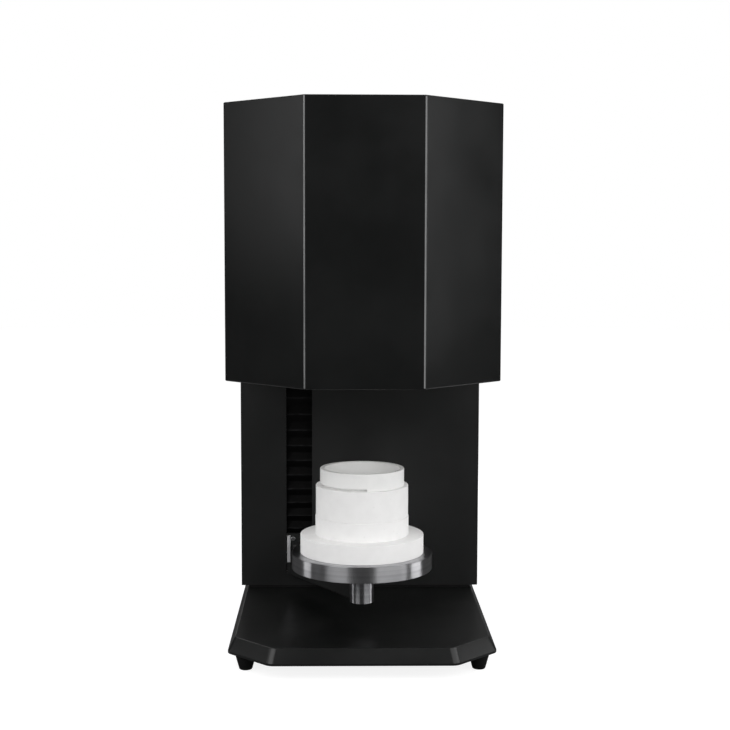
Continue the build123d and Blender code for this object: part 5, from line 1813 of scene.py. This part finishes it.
@dataclass
class Studio:
    """Pale floor, white surround, soft lamps and the camera."""

    camera_place: Place = (-0.0303, -1.9557, 0.5718)
    yaw: float = 0.0181
    pitch: float = 0.0911
    roll: float = 0.0024
    lens: float = 68.4
    floor_radius: float = 7.0
    ambient: float = 0.59
    front_glow: float = 0.03
    lamps: tuple[SoftBox, ...] = (
        SoftBox("left soft box", (-1.07, -1.27, 1.20), (0.0, -0.08, 0.45), 1.2, 1.5, 13.5),
        SoftBox("right soft box", (1.06, -1.07, 0.85), (0.0, -0.08, 0.60), 1.5, 1.5, 11.5),
        SoftBox("left strip", (-1.25, -0.30, 0.80), (-0.15, -0.30, 0.80), 0.26, 0.50, 0.60),
        SoftBox("right strip", (1.15, -0.42, 0.74), (0.12, -0.38, 0.74), 0.20, 0.70, 1.25),
        SoftBox("low left card", (-0.62, -0.045, 0.075), (0.0, -0.045, 0.075), 0.17, 0.14, 0.17),
        SoftBox("low right card", (0.62, -0.07, 0.075), (0.0, -0.07, 0.075), 0.25, 0.14, 0.38),
        SoftBox("overhead soft box", (0.0, -0.45, 2.30), (0.0, -0.05, 0.4), 1.6, 1.2, 4.5),
        SoftBox("rear left soft box", (-0.95, 1.6, 2.1), (0.0, 0.1, 0.4), 1.0, 1.4, 9.0),
        SoftBox("rear right soft box", (0.95, 1.6, 2.1), (0.0, 0.1, 0.4), 1.0, 1.4, 9.0),
    )

    def camera(self) -> None:
        """Sets up the camera at the viewing point."""
        ahead = Vector((math.sin(self.yaw), math.cos(self.yaw), 0))
        right = Vector((math.cos(self.yaw), -math.sin(self.yaw), 0))
        up = Vector((0, 0, 1))
        forward = ahead * math.cos(self.pitch) - up * math.sin(self.pitch)
        above = up * math.cos(self.pitch) + ahead * math.sin(self.pitch)
        across = right * math.cos(self.roll) + above * math.sin(self.roll)
        top = above * math.cos(self.roll) - right * math.sin(self.roll)
        turn = Matrix((across, top, -forward)).transposed().to_4x4()
        data = bpy.data.cameras.new("studio camera")
        data.lens = self.lens
        data.sensor_width = 36.0
        data.clip_start, data.clip_end = 0.05, 50.0
        camera = bpy.data.objects.new("studio camera", data)
        bpy.context.scene.collection.objects.link(camera)
        camera.matrix_world = Matrix.Translation(self.camera_place) @ turn
        bpy.context.scene.camera = camera

    def floor(self) -> None:
        """Lays the pale floor, white to the lens where it is lit, with the furnace's shadow."""
        blank = bmesh.new()
        bmesh.ops.create_circle(blank, cap_ends=True, segments=96, radius=self.floor_radius)
        mesh = bpy.data.meshes.new("studio_floor")
        blank.to_mesh(mesh)
        blank.free()
        floor = bpy.data.objects.new("studio_floor", mesh)
        bpy.context.scene.collection.objects.link(floor)
        material = bpy.data.materials.new("pale floor")
        material.use_nodes = True
        wiring = Wiring(material.node_tree)
        here = wiring.place()
        away = wiring.vector("LENGTH", here).outputs["Value"]
        tone = wiring.noise(here, 3.0, 3.0)
        colour = wiring.blend(tone, grey(0.30), grey(0.32))
        colour = wiring.blend(wiring.fade(away, 1.1, 1.7), colour, grey(0.05))
        rays = wiring.lay("ShaderNodeLightPath")
        colour = wiring.blend(rays.outputs["Is Glossy Ray"], colour, grey(0.05))
        rough = wiring.fade(tone, 0.0, 1.0, 0.75, 0.85)
        shader = wiring.lay("ShaderNodeBsdfPrincipled", {"Base Color": colour, "Roughness": rough})
        shader.inputs["Specular IOR Level"].default_value = 0.1
        lift = wiring.fade(away, 0.6, 1.1, 0.85, 1.0)
        seen = wiring.times(rays.outputs["Is Camera Ray"], lift)
        reflected = wiring.math(
            "MAXIMUM", rays.outputs["Is Glossy Ray"], rays.outputs["Is Transmission Ray"]
        )
        table = wiring.fade(away, 0.35, 0.75, 0.06, 0.0)
        seen = wiring.plus(seen, wiring.times(reflected, table))
        glow = wiring.lay("ShaderNodeEmission", {"Color": STUDIO_WHITE, "Strength": seen})
        both = wiring.lay("ShaderNodeAddShader", {0: shader.outputs[0], 1: glow.outputs[0]})
        wiring.lay("ShaderNodeOutputMaterial", {"Surface": both.outputs[0]})
        mesh.materials.append(material)

    def surround(self) -> None:
        """Makes the world: white behind, dim in front for reflections, and even soft light."""
        world = bpy.data.worlds.new("studio")
        bpy.context.scene.world = world
        world.use_nodes = True
        wiring = Wiring(world.node_tree)
        direction = wiring.lay("ShaderNodeTexCoord").outputs["Generated"]
        parts = wiring.split(direction)
        behind = wiring.fade(parts[Y], 0.90, 0.97)
        behind = wiring.times(behind, wiring.fade(parts[Z], 0.14, 0.07))
        behind = wiring.math("MAXIMUM", behind, self.front_glow)
        rays = wiring.lay("ShaderNodeLightPath")
        glossy = wiring.math(
            "MAXIMUM", rays.outputs["Is Glossy Ray"], rays.outputs["Is Transmission Ray"]
        )
        indirect = wiring.lay(
            "ShaderNodeMix", {0: glossy, 2: self.ambient, 3: behind}, data_type="FLOAT"
        ).outputs[0]
        strength = wiring.lay(
            "ShaderNodeMix",
            {0: rays.outputs["Is Camera Ray"], 2: indirect, 3: 1.0},
            data_type="FLOAT",
        ).outputs[0]
        light = wiring.lay("ShaderNodeBackground", {"Color": STUDIO_WHITE, "Strength": strength})
        wiring.lay("ShaderNodeOutputWorld", {"Surface": light.outputs[0]})

    def set_up(self) -> None:
        """Sets up the whole studio."""
        bpy.context.scene.view_settings.view_transform = "Standard"
        self.camera()
        self.floor()
        self.surround()
        for lamp in self.lamps:
            lamp.hang()


def main() -> None:
    """Builds the studio and then the furnace, piece by piece."""
    logging.basicConfig(level=logging.INFO, format="%(name)s: %(message)s")
    Studio().set_up()
    Base().build()
    Hood().build()
    Lift().build()
    Pedestal().build()
    Bellows().build()
    Chamber().build()
    FanGuard().build()
    KeptNodes().dress()


if __name__ == "__main__":
    main()
